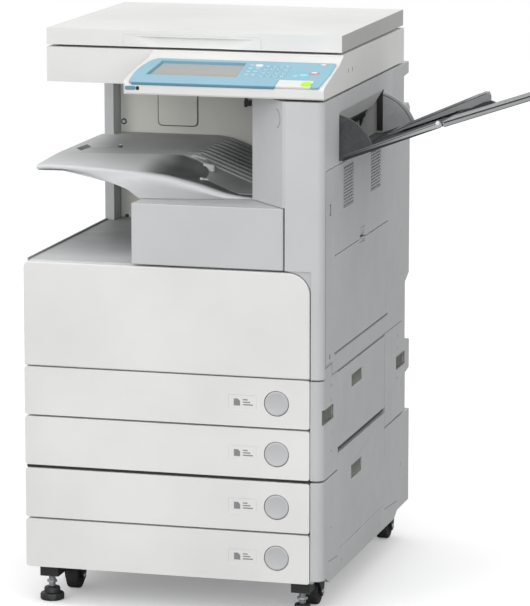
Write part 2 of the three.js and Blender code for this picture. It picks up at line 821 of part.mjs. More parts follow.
function addRunningGear() {
  const casters = { fl: [-230, -225], fr: [232, -225], rl: [-240, 305], rr: [240, 305] };
  for (const [corner, [x, y]] of Object.entries(casters)) {
    const caster = new THREE.Group();
    caster.position.set(x, y, 0);
    photocopier.add(caster);
    addPart(`caster_fork_${corner}`, casterFork(), BLACK, caster);
    addPart(`caster_wheel_${corner}`, casterWheel(), BLACK, caster);
  }
  ["left", "right"].forEach((side, i) => {
    const foot = addPart(`levelling_foot_${side}`, levellingFoot(), BLACK);
    foot.position.set(FEET_X[i], FOOT_Y, 0);
  });
}

// ---------------------------------------------------------------- assembly
addPart("pedestal_frame", pedestalFrame(), LIGHT_GREY);
addPart("main_frame", mainFrame(), STEEL);
addPart("left_cover", leftCover(), LIGHT_GREY);
addPart("rear_cover", rearCover(), SIDE_GREY);
addPart("inner_back_wall", innerBackWall(), WALL_GREY);
addPart("rear_right_cover", rearRightCover(), SIDE_GREY);
addPart("lower_right_cover", lowerRightCover(), SIDE_GREY);
addPart("pedestal_right_cover", pedestalRightCover(), SIDE_GREY);
addPart("right_front_strip", rightFrontStrip(), SIDE_GREY);
addPart("right_pillar", rightPillar(), LIGHT_GREY);
addPart("right_door", rightDoor(), SIDE_GREY);
addPart("bypass_tray", bypassTray(), SIDE_GREY);
addPart("paper_door_upper", paperDoor(UPPER_PAPER_DOOR), SIDE_GREY);
addPart("paper_door_lower", paperDoor(LOWER_PAPER_DOOR), SIDE_GREY);
addPart("shelf_cover", shelfCover(), LIGHT_GREY);
addPart("toner_cover", tonerCover(), LIGHT_GREY);
addPart("toner_bottle", tonerBottle(), DARK_GREY);
addPart("drum_unit", drumUnit(), DARK_GREY);
addPart("exit_rollers", exitRollers(), BLACK);
addPart("inner_tray", innerTray(), TRAY_GREY);
addPart("front_door", frontDoor(), WHITE);

DRAWERS.forEach((span, i) => {
  addPart(`cassette_front_${i + 1}`, cassetteFront(span), WHITE);
  addPart(`cassette_tray_${i + 1}`, cassetteTray(span), DARK_GREY);
  addPart(`cassette_button_${i + 1}`, cassetteButton(span), LIGHT_GREY);
});

addPart("reader_housing", readerHousing(), WHITE);
addPart("platen_glass", box(GLASS_X, GLASS_Y, [1015.8, 1019.8]), GLASS);
addPart("scan_carriage", scanCarriage(), BLACK);
addPart("platen_lid", platenLid(), WHITE);
addPart("platen_pad", box(PAD_X, PAD_Y, [1021.8, 1030.6]), WHITE);
addPart("lid_hinge_left", lidHinge(-1), DARK_GREY);
addPart("lid_hinge_right", lidHinge(1), DARK_GREY);
addControlPanel();

addPart("side_tray", sideTray(), DARK_GREY);
addPart("side_tray_extension", sideTrayExtension(), DARK_GREY);
addPart("side_tray_flap", sideTrayFlap(), DARK_GREY);
addRunningGear();

// The origin moves to the floor below the middle of the whole object's box.
const bounds = new THREE.Box3().setFromObject(photocopier);
const middle = bounds.getCenter(new THREE.Vector3());
photocopier.position.set(-middle.x, -middle.y, -bounds.min.z);

export default photocopier;
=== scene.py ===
import json
import math

import bmesh
import bpy
from mathutils import Matrix, Vector


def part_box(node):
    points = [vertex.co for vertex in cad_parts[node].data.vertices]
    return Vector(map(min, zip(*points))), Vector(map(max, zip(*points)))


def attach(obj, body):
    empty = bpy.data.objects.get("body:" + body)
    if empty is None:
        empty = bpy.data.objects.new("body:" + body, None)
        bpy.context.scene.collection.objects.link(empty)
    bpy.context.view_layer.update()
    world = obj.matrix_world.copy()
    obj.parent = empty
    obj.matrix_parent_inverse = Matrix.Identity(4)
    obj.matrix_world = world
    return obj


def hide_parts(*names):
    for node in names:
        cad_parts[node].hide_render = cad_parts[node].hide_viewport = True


# The looks of a floor-standing office photocopier, built round its CAD frame.
# Lengths are millimetres in the machine's own frame: X to the right of its middle, Y to the back and
# Z up from the floor. ORIGIN and MM turn them into the frame's metres.

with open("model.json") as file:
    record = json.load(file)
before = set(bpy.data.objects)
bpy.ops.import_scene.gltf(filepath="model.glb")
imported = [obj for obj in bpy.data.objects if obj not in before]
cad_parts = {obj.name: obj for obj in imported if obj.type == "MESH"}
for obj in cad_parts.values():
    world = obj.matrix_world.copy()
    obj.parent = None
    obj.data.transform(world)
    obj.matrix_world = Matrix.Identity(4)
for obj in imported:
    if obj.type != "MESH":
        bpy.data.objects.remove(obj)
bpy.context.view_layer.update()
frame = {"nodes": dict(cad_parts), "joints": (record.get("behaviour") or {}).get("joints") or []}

MM = 0.001
DOOR_CORNER = Vector((-282.5, -340.0, 449.5))  # the front door's lower left front corner
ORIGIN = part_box("front_door")[0] - DOOR_CORNER * MM

MACHINE = "machine"


def limits(node):
    """A CAD node's limits along X, Y and Z, in machine millimetres."""
    low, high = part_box(node)
    return [((low[i] - ORIGIN[i]) / MM, (high[i] - ORIGIN[i]) / MM) for i in range(3)]


def shrink(span, amount):
    return span[0] + amount, span[1] - amount


def middle(span):
    return (span[0] + span[1]) / 2


def around(centre, half):
    return centre - half, centre + half


def blend(a, b, share):
    return a + (b - a) * share


def evenly(start, end, count):
    """Evenly spaced places from start to end, both included."""
    return [blend(start, end, k / (count - 1)) for k in range(count)]


def smooth(value, start, end):
    """0 before start, 1 after end, and an S curve between them."""
    share = min(1.0, max(0.0, (value - start) / (end - start)))
    return share * share * (3 - 2 * share)


def along(table, x):
    """The value at x on straight lines between (x, value) pairs in rising order."""
    if x <= table[0][0]:
        return table[0][1]
    for (x0, v0), (x1, v1) in zip(table, table[1:]):
        if x <= x1:
            return blend(v0, v1, (x - x0) / (x1 - x0))
    return table[-1][1]


# ---- materials
def linear(rgb):
    """A display colour, 0 to 255, as a scene-linear RGBA value."""
    shares = [c / 255 for c in rgb]
    return [c / 12.92 if c <= 0.04045 else ((c + 0.055) / 1.055) ** 2.4 for c in shares] + [1.0]


def scaled(rgb, factor):
    return [min(255, c * factor) for c in rgb]


class Graph:
    """A node material being built, with its patterns in the object's own space."""

    def __init__(self, name):
        self.material = bpy.data.materials.new(name)
        self.material.use_nodes = True
        self.tree = self.material.node_tree
        self.shader = self.tree.nodes["Principled BSDF"]
        self.place = self.node("ShaderNodeTexCoord").outputs["Object"]

    def node(self, kind, settings=None, **inputs):
        made = self.tree.nodes.new(kind)
        for key, value in (settings or {}).items():
            setattr(made, key, value)
        for key, value in inputs.items():
            self.feed(value, made.inputs[key.replace("_", " ")])
        return made

    def feed(self, value, socket):
        if isinstance(value, bpy.types.NodeSocket):
            self.tree.links.new(value, socket)
        else:
            socket.default_value = value

    def set(self, **inputs):
        for key, value in inputs.items():
            self.feed(value, self.shader.inputs[key.replace("_", " ")])

    def stretched(self, factors):
        made = self.node("ShaderNodeMapping", Vector=self.place)
        made.inputs["Scale"].default_value = factors
        return made.outputs["Vector"]

    def noise(self, scale, detail=2.0, place=None):
        made = self.node("ShaderNodeTexNoise", Vector=place or self.place, Scale=scale, Detail=detail)
        return made.outputs["Fac"]

    def remap(self, value, low, high, start=0.3, end=0.7):
        made = self.node("ShaderNodeMapRange", Value=value)
        for key, number in zip(("From Min", "From Max", "To Min", "To Max"), (start, end, low, high)):
            made.inputs[key].default_value = number
        return made.outputs["Result"]

    def mix(self, share, first, second):
        made = self.node("ShaderNodeMix", {"data_type": "RGBA"})
        self.feed(share, made.inputs[0])
        self.feed(first, made.inputs[6])
        self.feed(second, made.inputs[7])
        return made.outputs[2]

    def maths(self, operation, first, second=0.0):
        made = self.node("ShaderNodeMath", {"operation": operation, "use_clamp": True})
        self.feed(first, made.inputs[0])
        self.feed(second, made.inputs[1])
        return made.outputs[0]

    def bump(self, height, depth, strength=0.6):
        """Adds fine relief of the given depth in metres to the shader's normal."""
        made = self.node("ShaderNodeBump", Height=height, Distance=depth, Strength=strength)
        self.set(Normal=made.outputs["Normal"])

    def edges(self, radius):
        """A mask that is 1 where the surface turns within a radius in metres, for wear from rubbing and
        painted highlights along edges.
        """
        turned = self.node("ShaderNodeBevel", {"samples": 4}, Radius=radius).outputs["Normal"]
        straight = self.node("ShaderNodeNewGeometry").outputs["Normal"]
        dot = self.node("ShaderNodeVectorMath", {"operation": "DOT_PRODUCT"})
        self.feed(turned, dot.inputs[0])
        self.feed(straight, dot.inputs[1])
        return self.remap(dot.outputs["Value"], 1.0, 0.0, 0.86, 0.995)


def moulded(name, rgb, roughness=0.5, grain=0.00006, mottle=0.02, edge_wear_and_highlight=1.07, coat=0.0, shade=None):
    """Injection-moulded plastic: spark-eroded grain, faint mottling, handled patches, edges lightened by
    wear from rubbing and by a painted highlight, and painted shade where a shade mask is given.
    """
    g = Graph(name)
    patches = g.remap(g.noise(5.0, 3.0), 0.0, 1.0)
    base = g.mix(patches, linear(scaled(rgb, 1 - mottle)), linear(scaled(rgb, 1 + mottle)))
    # Edges lighten from wear by rubbing; a higher factor also paints a highlight along them.
    wear_and_highlight_edges = g.maths("MULTIPLY", g.edges(0.0012), g.remap(g.noise(60.0, 3.0), 0.15, 0.8))
    base = g.mix(wear_and_highlight_edges, base, linear(scaled(rgb, edge_wear_and_highlight)))
    # Painted shade: where the mask is 1 the colour falls to 0.74 of itself.
    if shade:
        base = g.mix(shade(g), base, linear(scaled(rgb, 0.74)))
    handled = g.remap(g.noise(23.0, 4.0), roughness - 0.06, roughness + 0.08)
    g.set(Base_Color=base, Roughness=handled, Coat_Weight=coat)
    g.bump(g.noise(1500.0, 2.0), grain)
    return g.material


def shelf_shade(g):
    """Painted shade on the open shelf: none along the front and on the block, darker towards the back of
    the bay.
    """
    split = g.node("ShaderNodeSeparateXYZ", Vector=g.place)
    back = g.remap(split.outputs["Y"], 0.0, 1.0, ORIGIN.y - 0.26, ORIGIN.y - 0.02)
    return g.maths("MULTIPLY", back, g.remap(split.outputs["Z"], 1.0, 0.0, 0.648, 0.654))


def lid_shade(g):
    """The lid's right-hand side, which faces away from the light."""
    split = g.node("ShaderNodeSeparateXYZ", Vector=g.place)
    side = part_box("platen_lid")[1].x
    return g.remap(split.outputs["X"], 0.0, 0.7, side - 0.0012, side - 0.0004)


def metal(name, rgb, roughness=0.35, brushed=(1.0, 60.0, 60.0)):
    """Plated or painted steel with drawn streaks."""
    g = Graph(name)
    streaks = g.noise(25.0, 4.0, g.stretched(brushed))
    base = g.mix(g.remap(streaks, 0.0, 1.0), linear(scaled(rgb, 0.9)), linear(scaled(rgb, 1.08)))
    g.set(Base_Color=base, Metallic=0.85, Roughness=g.remap(streaks, roughness - 0.08, roughness + 0.12))
    g.bump(streaks, 0.00004)
    return g.material


def rubber(name, rgb):
    """Rubber or nylon with dust on it."""
    g = Graph(name)
    dust = g.remap(g.noise(45.0, 5.0), 0.0, 0.5, 0.4, 0.75)
    g.set(Base_Color=g.mix(dust, linear(rgb), linear(scaled(rgb, 1.9))))
    g.set(Roughness=g.remap(g.noise(90.0), 0.6, 0.85))
    g.bump(g.noise(700.0, 3.0), 0.0001)
    return g.material


def display(name):
    """An unlit touch panel: warm grey, painted lighter towards the back as reflected light, with a fine
    cell grid in it.
    """
    g = Graph(name)
    split = g.node("ShaderNodeSeparateXYZ", Vector=g.place)
    y0, y1 = [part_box("touch_screen")[i][1] for i in (0, 1)]
    # Painted reflection: the grey lightens from the screen's front edge to its back edge.
    depth = g.remap(split.outputs["Y"], 0.0, 1.0, y0, y1)
    painted_reflection = g.mix(depth, linear((148, 147, 142)), linear((172, 172, 171)))
    cells = g.node("ShaderNodeTexVoronoi", Vector=g.place, Scale=1800.0).outputs["Distance"]
    shade = g.mix(g.remap(cells, 0.0, 0.15, 0.2, 0.6), painted_reflection, linear((120, 122, 120)))
    g.set(Base_Color=shade, Roughness=g.remap(g.noise(30.0), 0.14, 0.24), Coat_Weight=0.6)
    g.bump(cells, 0.00002, 0.3)
    return g.material


def glass(name, rgb, roughness=0.03):
    g = Graph(name)
    smears = g.remap(g.noise(12.0, 4.0), roughness, roughness + 0.05)
    g.set(Base_Color=linear(rgb), Transmission_Weight=0.9, IOR=1.45, Roughness=smears, Alpha=0.35)
    g.material.blend_method = "BLEND"
    return g.material


def smoked(name, rgb, alpha):
    """Thin tinted sheet that lets some of what lies behind show through."""
    g = Graph(name)
    cloud = g.remap(g.noise(18.0, 3.0), 0.0, 1.0)
    g.set(Base_Color=g.mix(cloud, linear(scaled(rgb, 0.92)), linear(scaled(rgb, 1.08))))
    g.set(Alpha=alpha, Roughness=g.remap(g.noise(50.0), 0.18, 0.3))
    g.bump(g.noise(400.0), 0.00003)
    g.material.blend_method = "BLEND"
    return g.material


def paper(name):
    """A ream's edges: thin layered lines along the sheets, warm white."""
    g = Graph(name)
    layers = g.noise(30.0, 2.0, g.stretched((0.05, 0.05, 90.0)))
    g.set(Base_Color=g.mix(g.remap(layers, 0.0, 1.0), linear((226, 225, 220)), linear((245, 244, 240))))
    g.set(Roughness=g.remap(g.noise(50.0), 0.82, 0.92))
    g.bump(layers, 0.0002)
    return g.material


def shade_painted_plastic(name, light, dark):
    """Plastic with painted shade: it falls from a light to a dark grey by the mesh's painted shade value,
    as shade falls in a deep scoop.
    """
    g = Graph(name)
    painted_shade = g.node("ShaderNodeAttribute", {"attribute_name": "painted_shade"}).outputs["Fac"]
    cloud = g.remap(g.noise(6.0, 3.0), -0.04, 0.04)
    share = g.maths("ADD", painted_shade, cloud)
    g.set(Base_Color=g.mix(share, linear(light), linear(dark)))
    g.set(Roughness=g.remap(g.noise(25.0, 4.0), 0.42, 0.56))
    g.bump(g.noise(1500.0), 0.00006)
    return g.material


FLOOR_GLOW = 0.22


def floor_paint(name):
    """Near white to the camera, and a mid grey to the light that falls back on the machine."""
    g = Graph(name)
    cloud = g.remap(g.noise(0.8, 2.0), 0.0, 1.0)
    seen = g.node("ShaderNodeLightPath").outputs["Is Camera Ray"]
    paint = g.mix(cloud, linear((249, 249, 249)), linear((252, 252, 252)))
    g.set(Base_Color=g.mix(seen, linear((170, 170, 170)), paint), Roughness=0.9, Specular_IOR_Level=0.1)
    g.set(Emission_Color=linear((255, 255, 255)), Emission_Strength=g.maths("MULTIPLY", seen, FLOOR_GLOW))
    return g.material


WHITE = moulded("housing_white", (226, 226, 224))
LID_WHITE = moulded("lid_white", (226, 226, 224), shade=lid_shade)
LIGHT = moulded("cover_light_grey", (196, 198, 199))
# The shelf's higher edge factor paints a highlight along its rounded edges, on top of wear.
SHELF = moulded("shelf_grey", (200, 202, 203), edge_wear_and_highlight=1.2, shade=shelf_shade)
SIDE = moulded("cover_side_grey", (190, 192, 193))
# A warm light grey lifted above the covers' grey, as painted light on the shaded bay wall.
WALL = moulded("wall_grey", (224, 225, 217), 0.55)
TRAY = moulded("tray_grey", (126, 128, 122), 0.55, 0.0001)
DARK = moulded("dark_plastic", (78, 80, 82), 0.5, 0.0001, 0.04, 1.2)
BLACK = moulded("black_plastic", (33, 34, 35), 0.45, 0.00008, 0.06, 1.4)
BUTTON = moulded("button_grey", (190, 191, 192), 0.38)
BLUE = moulded("panel_blue", (136, 184, 203), 0.36, 0.00003, 0.015, 1.05, 0.2)
# A darker copy of the panel blue: painted shade on the screen bezel and on the fascia's front lip, and also
# the indicator lens's colour.
DEEP_BLUE = moulded("bezel_blue", (100, 144, 164), 0.4, 0.00003)
KEY_BLUE = moulded("key_blue", (168, 204, 217), 0.34, 0.00002)
KEY_WHITE = moulded("key_white", (232, 234, 235), 0.32, 0.00002)
LIME = moulded("key_lime", (182, 250, 10), 0.3, 0.00002)
CORAL = moulded("key_coral", (232, 132, 116), 0.32, 0.00002)
CYAN = moulded("lens_cyan", (140, 226, 232), 0.25, 0.00002)
LEVER_GREEN = moulded("lever_green", (60, 140, 96), 0.4)
EXTENSION = moulded("extension_grey", (152, 153, 154), 0.45)
# A light grey in place of the exit unit's dark plastic, lifted as painted light in its shade; the tray's
# rib noses use it too.
INTERIOR = moulded("interior_grey", (196, 197, 195), 0.5)
GROOVE = moulded("groove_grey", (134, 136, 138), 0.5)
FRAME_METAL = metal("frame_metal", (176, 178, 180), 0.42)
STEEL = metal("steel", (196, 198, 200), 0.3)
SCREEN = display("screen")
GLASS = glass("glass", (206, 218, 220))
SMOKE = smoked("smoked_sheet", (74, 76, 78), 0.72)
# A lighter copy of the smoked sheet, as painted light on the far fin.
SMOKE_PAINTED_LIT = smoked("smoked_sheet_painted_lit", (184, 186, 188), 0.94)
PAPER = paper("paper")
RUBBER = rubber("wheel_black", (24, 24, 25))
NYLON = rubber("wheel_tread", (34, 34, 35))
DRUM = moulded("drum_coating", (46, 92, 104), 0.2, 0.00001, 0.02, 1.1, 0.6)
# The light and dark greys between which painted shade is laid on the output tray and on the side tray's
# rims.
TRAY_PAINTED_SHADE = shade_painted_plastic("tray_painted_shade", (210, 212, 213), (76, 77, 77))


# ---- mesh building
def arc(centre, radius, start, end, steps=6):
    """Points of an arc between two angles in degrees, ends included."""
    turns = [math.radians(blend(start, end, i / steps)) for i in range(steps + 1)]
    return [(centre[0] + radius * math.cos(t), centre[1] + radius * math.sin(t)) for t in turns]


def soften(outline, radius, steps=4):
    """An outline with each corner replaced by a curve that starts radius away from it."""
    made = []
    for i, corner in enumerate(outline):
        here = Vector(corner)
        before = Vector(outline[i - 1]) - here
        after = Vector(outline[(i + 1) % len(outline)]) - here
        first = here + before.normalized() * min(radius, before.length * 0.45)
        last = here + after.normalized() * min(radius, after.length * 0.45)
        for k in range(steps + 1):
            t = k / steps
            made.append(tuple(first * (1 - t) ** 2 + here * 2 * t * (1 - t) + last * t * t))
    return made


def rectangle(a, b):
    return [(a[0], b[0]), (a[1], b[0]), (a[1], b[1]), (a[0], b[1])]


def oval(centre, rx, ry, steps=28):
    turns = [2 * math.pi * i / steps for i in range(steps)]
    return [(centre[0] + rx * math.cos(t), centre[1] + ry * math.sin(t)) for t in turns]


MOST_FINISHES = 4  # material slots that a boolean carries through


class Form:
    """A closed mesh being built, in machine millimetres, or in the frame it is given."""

    def __init__(self, local=None):
        self.mesh = bmesh.new()
        self.local = local or Matrix()
        self.paint = 0

    def painted(self, index):
        self.paint = index
        return self

    def add(self, points, faces):
        made = [self.mesh.verts.new(self.local @ Vector(p)) for p in points]
        for corners in faces:
            face = self.mesh.faces.new([made[i] for i in corners])
            face.material_index = self.paint
        return self

    def loft(self, rings, closed=False):
        """Quads between rings of equal length, with flat ends, or joined end to start if closed."""
        count = len(rings[0])
        points = [p for ring in rings for p in ring]
        spans = len(rings) if closed else len(rings) - 1
        faces = []
        for s in range(spans):
            a, b = s * count, ((s + 1) % len(rings)) * count
            for i in range(count):
                j = (i + 1) % count
                faces.append((a + i, a + j, b + j, b + i))
        if not closed:
            faces += [tuple(range(count)), tuple(range(len(points) - count, len(points)))]
        return self.add(points, faces)

    def prism(self, axis, outline, span):
        """An outline in the other two axes, in their X, Y, Z order, run along one axis."""
        return self.loft([[spread(axis, p, end) for p in outline] for end in span])

    def box(self, x, y, z):
        return self.prism("z", rectangle(x, y), z)

    def slab(self, axis, a, b, radius, span):
        """A plate with rounded corners, square to an axis."""
        return self.prism(axis, soften(rectangle(a, b), radius), span)

    def strip(self, axis, across, heights, depth):
        """A box on an upright face that is square to axis, X or Y."""
        x, y = (sorted(depth), across) if axis == "x" else (across, sorted(depth))
        return self.box(x, y, heights)

    def lathe(self, axis, profile, centre, sides=32, closed=False):
        """A profile of (radius, place along the axis) pairs turned round an axis through centre."""
        rings = [[spread(axis, p, at) for p in oval(centre, r, r, sides)] for r, at in profile]
        return self.loft(rings, closed)

    def rod(self, axis, span, centre, radius, sides=24):
        return self.lathe(axis, [(radius, span[0]), (radius, span[1])], centre, sides)

    def tube(self, path, radius, sides=10):
        """A round tube along a path of points."""
        spots = [Vector(p) for p in path]
        rings = []
        for i, spot in enumerate(spots):
            heading = (spots[min(i + 1, len(spots) - 1)] - spots[max(i - 1, 0)]).normalized()
            side = heading.cross(Vector((0.13, 0.27, 0.95))).normalized()
            up = heading.cross(side)
            ring = [spot + (side * a + up * b) * radius for a, b in oval((0, 0), 1, 1, sides)]
            rings.append(ring)
        return self.loft(rings)

    def combine(self, operation, *others):
        """Joins, cuts or intersects this closed form with others by an exact boolean."""
        temps = [temporary(form) for form in (self, *others)]
        for other in temps[1:]:
            modifier = temps[0].modifiers.new("boolean", "BOOLEAN")
            modifier.operation = operation
            modifier.solver = "EXACT"
            modifier.object = other
        bpy.context.view_layer.update()
        graph = bpy.context.evaluated_depsgraph_get()
        made = bpy.data.meshes.new_from_object(temps[0].evaluated_get(graph))
        self.mesh.clear()
        self.mesh.from_mesh(made)
        for temp in temps:
            bpy.data.meshes.remove(temp.data)
        bpy.data.meshes.remove(made)
        return self

    def cut(self, *others):
        return self.combine("DIFFERENCE", *others)

    def tidy(self):
        """Merges doubled points, clears slivers and turns every face outwards."""
        bmesh.ops.remove_doubles(self.mesh, verts=self.mesh.verts, dist=0.01)
        bmesh.ops.dissolve_degenerate(self.mesh, dist=0.005, edges=self.mesh.edges)
        bmesh.ops.recalc_face_normals(self.mesh, faces=self.mesh.faces)
        return self


def spread(axis, flat, at):
    """A point from its two coordinates across an axis and its place along that axis."""
    point = list(flat)
    point.insert("xyz".index(axis), at)
    return point


def temporary(form):
    """An object with the form's mesh, for a boolean."""
    form.tidy()
    mesh = bpy.data.meshes.new("temporary")
    form.mesh.to_mesh(mesh)
    for _ in range(MOST_FINISHES):
        mesh.materials.append(None)
    made = bpy.data.objects.new("temporary", mesh)
    bpy.context.scene.collection.objects.link(made)
    return made


def copied(node):
    """A CAD node's shape as a form, in machine millimetres, with its flat areas made whole."""
    form = Form()
    form.mesh.from_mesh(frame["nodes"][node].data)
    to_millimetres = Matrix.Scale(1 / MM, 4) @ Matrix.Translation(-ORIGIN)
    bmesh.ops.transform(form.mesh, matrix=to_millimetres, verts=form.mesh.verts)
    form.tidy()
    flat = math.radians(0.5)
    bmesh.ops.dissolve_limit(form.mesh, angle_limit=flat, verts=form.mesh.verts, edges=form.mesh.edges)
    return form


def rounded(obj, width, segments=2, angle=32):
    """Rounds an object's sharp edges and keeps its flat faces shaded flat."""
    bevel = obj.modifiers.new("edges", "BEVEL")
    bevel.width = width * MM
    bevel.segments = segments
    bevel.limit_method = "ANGLE"
    bevel.angle_limit = math.radians(angle)
    bevel.miter_outer = "MITER_ARC"
    normals = obj.modifiers.new("shading", "WEIGHTED_NORMAL")
    normals.keep_sharp = True
    normals.weight = 60


def piece(name, form, body, *finishes, edge=0.6, segments=2, sharp=45, stands_for=(), painted_shade=None):
    """Turns a form into a finished piece that rides on a body. Its finishes fill its material slots in
    order.
    """
    form.tidy()
    to_metres = Matrix.Translation(ORIGIN) @ Matrix.Scale(MM, 4)
    mesh = bpy.data.meshes.new(name)
    # A painted shade function gives each point how far its colour falls towards the dark grey.
    painted_shades = [painted_shade(v.co) for v in form.mesh.verts] if painted_shade else None
    bmesh.ops.transform(form.mesh, matrix=to_metres, verts=form.mesh.verts)
    form.mesh.to_mesh(mesh)
    form.mesh.free()
    for finish in finishes:
        mesh.materials.append(finish)
    if painted_shades:
        mesh.attributes.new("painted_shade", "FLOAT", "POINT").data.foreach_set("value", painted_shades)
    mesh.polygons.foreach_set("use_smooth", [True] * len(mesh.polygons))
    obj = bpy.data.objects.new(name, mesh)
    bpy.context.scene.collection.objects.link(obj)
    if edge:
        rounded(obj, edge, segments)
    else:
        mesh.set_sharp_from_angle(angle=math.radians(sharp))
    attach(obj, body)
    if stands_for:
        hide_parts(*stands_for)
    return obj


def dress(finish, edge, *names):
    """Gives CAD nodes their finish and rounds their edges."""
    for name in names:
        obj = frame["nodes"][name]
        obj.data.materials.clear()
        obj.data.materials.append(finish)
        obj.data.polygons.foreach_set("material_index", [0] * len(obj.data.polygons))
        obj.data.polygons.foreach_set("use_smooth", [True] * len(obj.data.polygons))
        weld = obj.modifiers.new("weld", "WELD")
        weld.merge_threshold = 0.00001
        flats = obj.modifiers.new("flats", "DECIMATE")
        flats.decimate_type = "DISSOLVE"
        flats.angle_limit = math.radians(0.6)
        rounded(obj, edge)


# ---- carried-over CAD nodes
def cad_nodes():
    dress(WHITE, 2.6, "front_door")
    dress(WHITE, 1.2, "platen_pad")
    dress(LIGHT, 2.2, "toner_cover")
    dress(LIGHT, 1.6, "right_pillar")
    dress(SHELF, 1.8, "shelf_cover")
    dress(LIGHT, 1.2, "pedestal_frame")
    dress(WALL, 0.8, "inner_back_wall")
    dress(SIDE, 1.3, "rear_cover", "rear_right_cover", "lower_right_cover", "pedestal_right_cover")
    dress(SIDE, 1.1, "right_door", "bypass_tray", "paper_door_upper", "paper_door_lower")
    dress(FRAME_METAL, 0.8, "main_frame")
    dress(DARK, 0.8, *[f"cassette_tray_{i}" for i in range(1, 5)])
    dress(BLACK, 0.6, "scan_carriage", "exit_rollers")
    dress(DARK, 0.8, "drum_unit", "lid_hinge_left", "lid_hinge_right")
    dress(GLASS, 0.3, "platen_glass")


# ---- platen lid
LID_BOTTOM = 1024.3
LID_FRONT = -196
LID_BACK = 290
LID_RECESS = {"x": (-240, 250), "y": (-165, 250), "depth": 5.5}
SCOOP = {"centre": 2, "half": 80, "flare": 28, "top": 1042, "depth": 9}
GRIP_GROOVE = {"x": (-134, 128), "top": 1046, "width": 0.9}
HINGE_EAR = [(285, 1026), (285, 1034), (300, 1034), (304, 1024), (300, 1010), (292, 1010)]


def scoop_depth(x, z):
    """How far the lid's finger scoop goes in: deepest under its upper edge, narrower at the bottom."""
    if z > SCOOP["top"]:
        return 0
    rise = (z - LID_BOTTOM) / (SCOOP["top"] - LID_BOTTOM)
    half = SCOOP["half"] + SCOOP["flare"] * rise
    across = max(0.0, 1 - (abs(x - SCOOP["centre"]) / half) ** 5)
    return SCOOP["depth"] * across * (0.3 + 0.7 * rise)


def lid_rings():
    """The lid's outline at each X: front face with its scoop, top with its recess, back and bottom."""
    (x0, x1), _, (_, top) = limits("platen_lid")
    recess_x, recess_y = LID_RECESS["x"], LID_RECESS["y"]
    columns = [x0, x0 + 6, recess_x[0], -200, -160]
    columns += [-134 + 8.2 * i for i in range(33)] + [170, 210, recess_x[1], x1 - 5, x1]
    rings = []
    for x in columns:
        sunk = LID_RECESS["depth"] if recess_x[0] <= x <= recess_x[1] else 0
        heights = (LID_BOTTOM, 1028, 1033, 1038, SCOOP["top"], SCOOP["top"] + 1.5)
        ring = [(x, LID_FRONT + scoop_depth(x, z), z) for z in heights]
        ring += [(x, LID_FRONT, top), (x, LID_FRONT + 6, top)]
        ring += [(x, y, top - sunk) for y in recess_y]
        ring += [(x, LID_BACK - 5, top), (x, LID_BACK, top), (x, LID_BACK, LID_BOTTOM)]
        rings.append(ring)
    return rings


def lid():
    pad_x, pad_y, pad_z = limits("platen_pad")
    pocket = Form().painted(1)
    pocket.box(shrink(pad_x, -1), shrink(pad_y, -1), (LID_BOTTOM - 1, pad_z[1] + 0.9))
    (left, right), top, width = GRIP_GROOVE["x"], GRIP_GROOVE["top"], GRIP_GROOVE["width"]
    face = around(LID_FRONT, 1)
    grooves = [Form().box((x, x + width), face, (LID_BOTTOM - 1, top)) for x in (left, right)]
    grooves.append(Form().box((left, right + width), face, (top, top + width)))
    shell = Form().loft(lid_rings()).cut(pocket, *grooves)
    for hinge in ("lid_hinge_left", "lid_hinge_right"):
        span = limits(hinge)[0]
        for x in (span[0] - 4.5, span[1] - 2.5):
            shell.prism("x", soften(HINGE_EAR, 4), (x, x + 7))
    piece("platen_lid_shell", shell, "lid", LID_WHITE, LIGHT, edge=2.4, segments=3,
          stands_for=["platen_lid"])
    bumpers = Form()
    profile = [(5, LID_BOTTOM + 1), (5, LID_BOTTOM - 2), (3.5, LID_BOTTOM - 3.4)]
    for x in (-262, 262):
        for y in (-170, 262):
            bumpers.lathe("z", profile, (x, y), 20)
    piece("lid_bumpers", bumpers, "lid", RUBBER, edge=0.4)


# ---- reader and control panel
READER_FRONT = -196
PANEL_LEFT = -91
PANEL_FRONT = -340
KEY_DOWN = Vector(next(j for j in frame["joints"] if j["name"] == "start_key_press")["axis"])
SLOPE = math.asin(KEY_DOWN.y)
FASCIA_FOOT = 2  # the CAD fascia starts this far up the slope
FASCIA_TOP = 2.8  # and this is its upper face above the slope


def panel_matrix():
    """The control panel's frame: X as before, Y up the slope from the front edge, Z out of it."""
    _, (front, _), (low, _) = limits("panel_fascia")
    y = front - FASCIA_FOOT * math.cos(SLOPE) + FASCIA_TOP * math.sin(SLOPE)
    z = low - FASCIA_FOOT * math.sin(SLOPE) - 0.3 * math.cos(SLOPE)
    return Matrix.Translation((0, y, z)) @ Matrix.Rotation(SLOPE, 4, "X")


PANEL = panel_matrix()
THROUGH = (-2, 9)  # a cut right through the fascia
SCREEN_OPENING = [(-58, 37), (112, 37), (112, 108), (-46, 108)]
SCREEN_FLOOR = [(-55, 38.2), (110.6, 38.2), (110.6, 104), (-43, 104)]
SCREEN_DEPTH = -0.6
START = (248, 12)
STOP = (249, 67)
POWER = (256, 108)


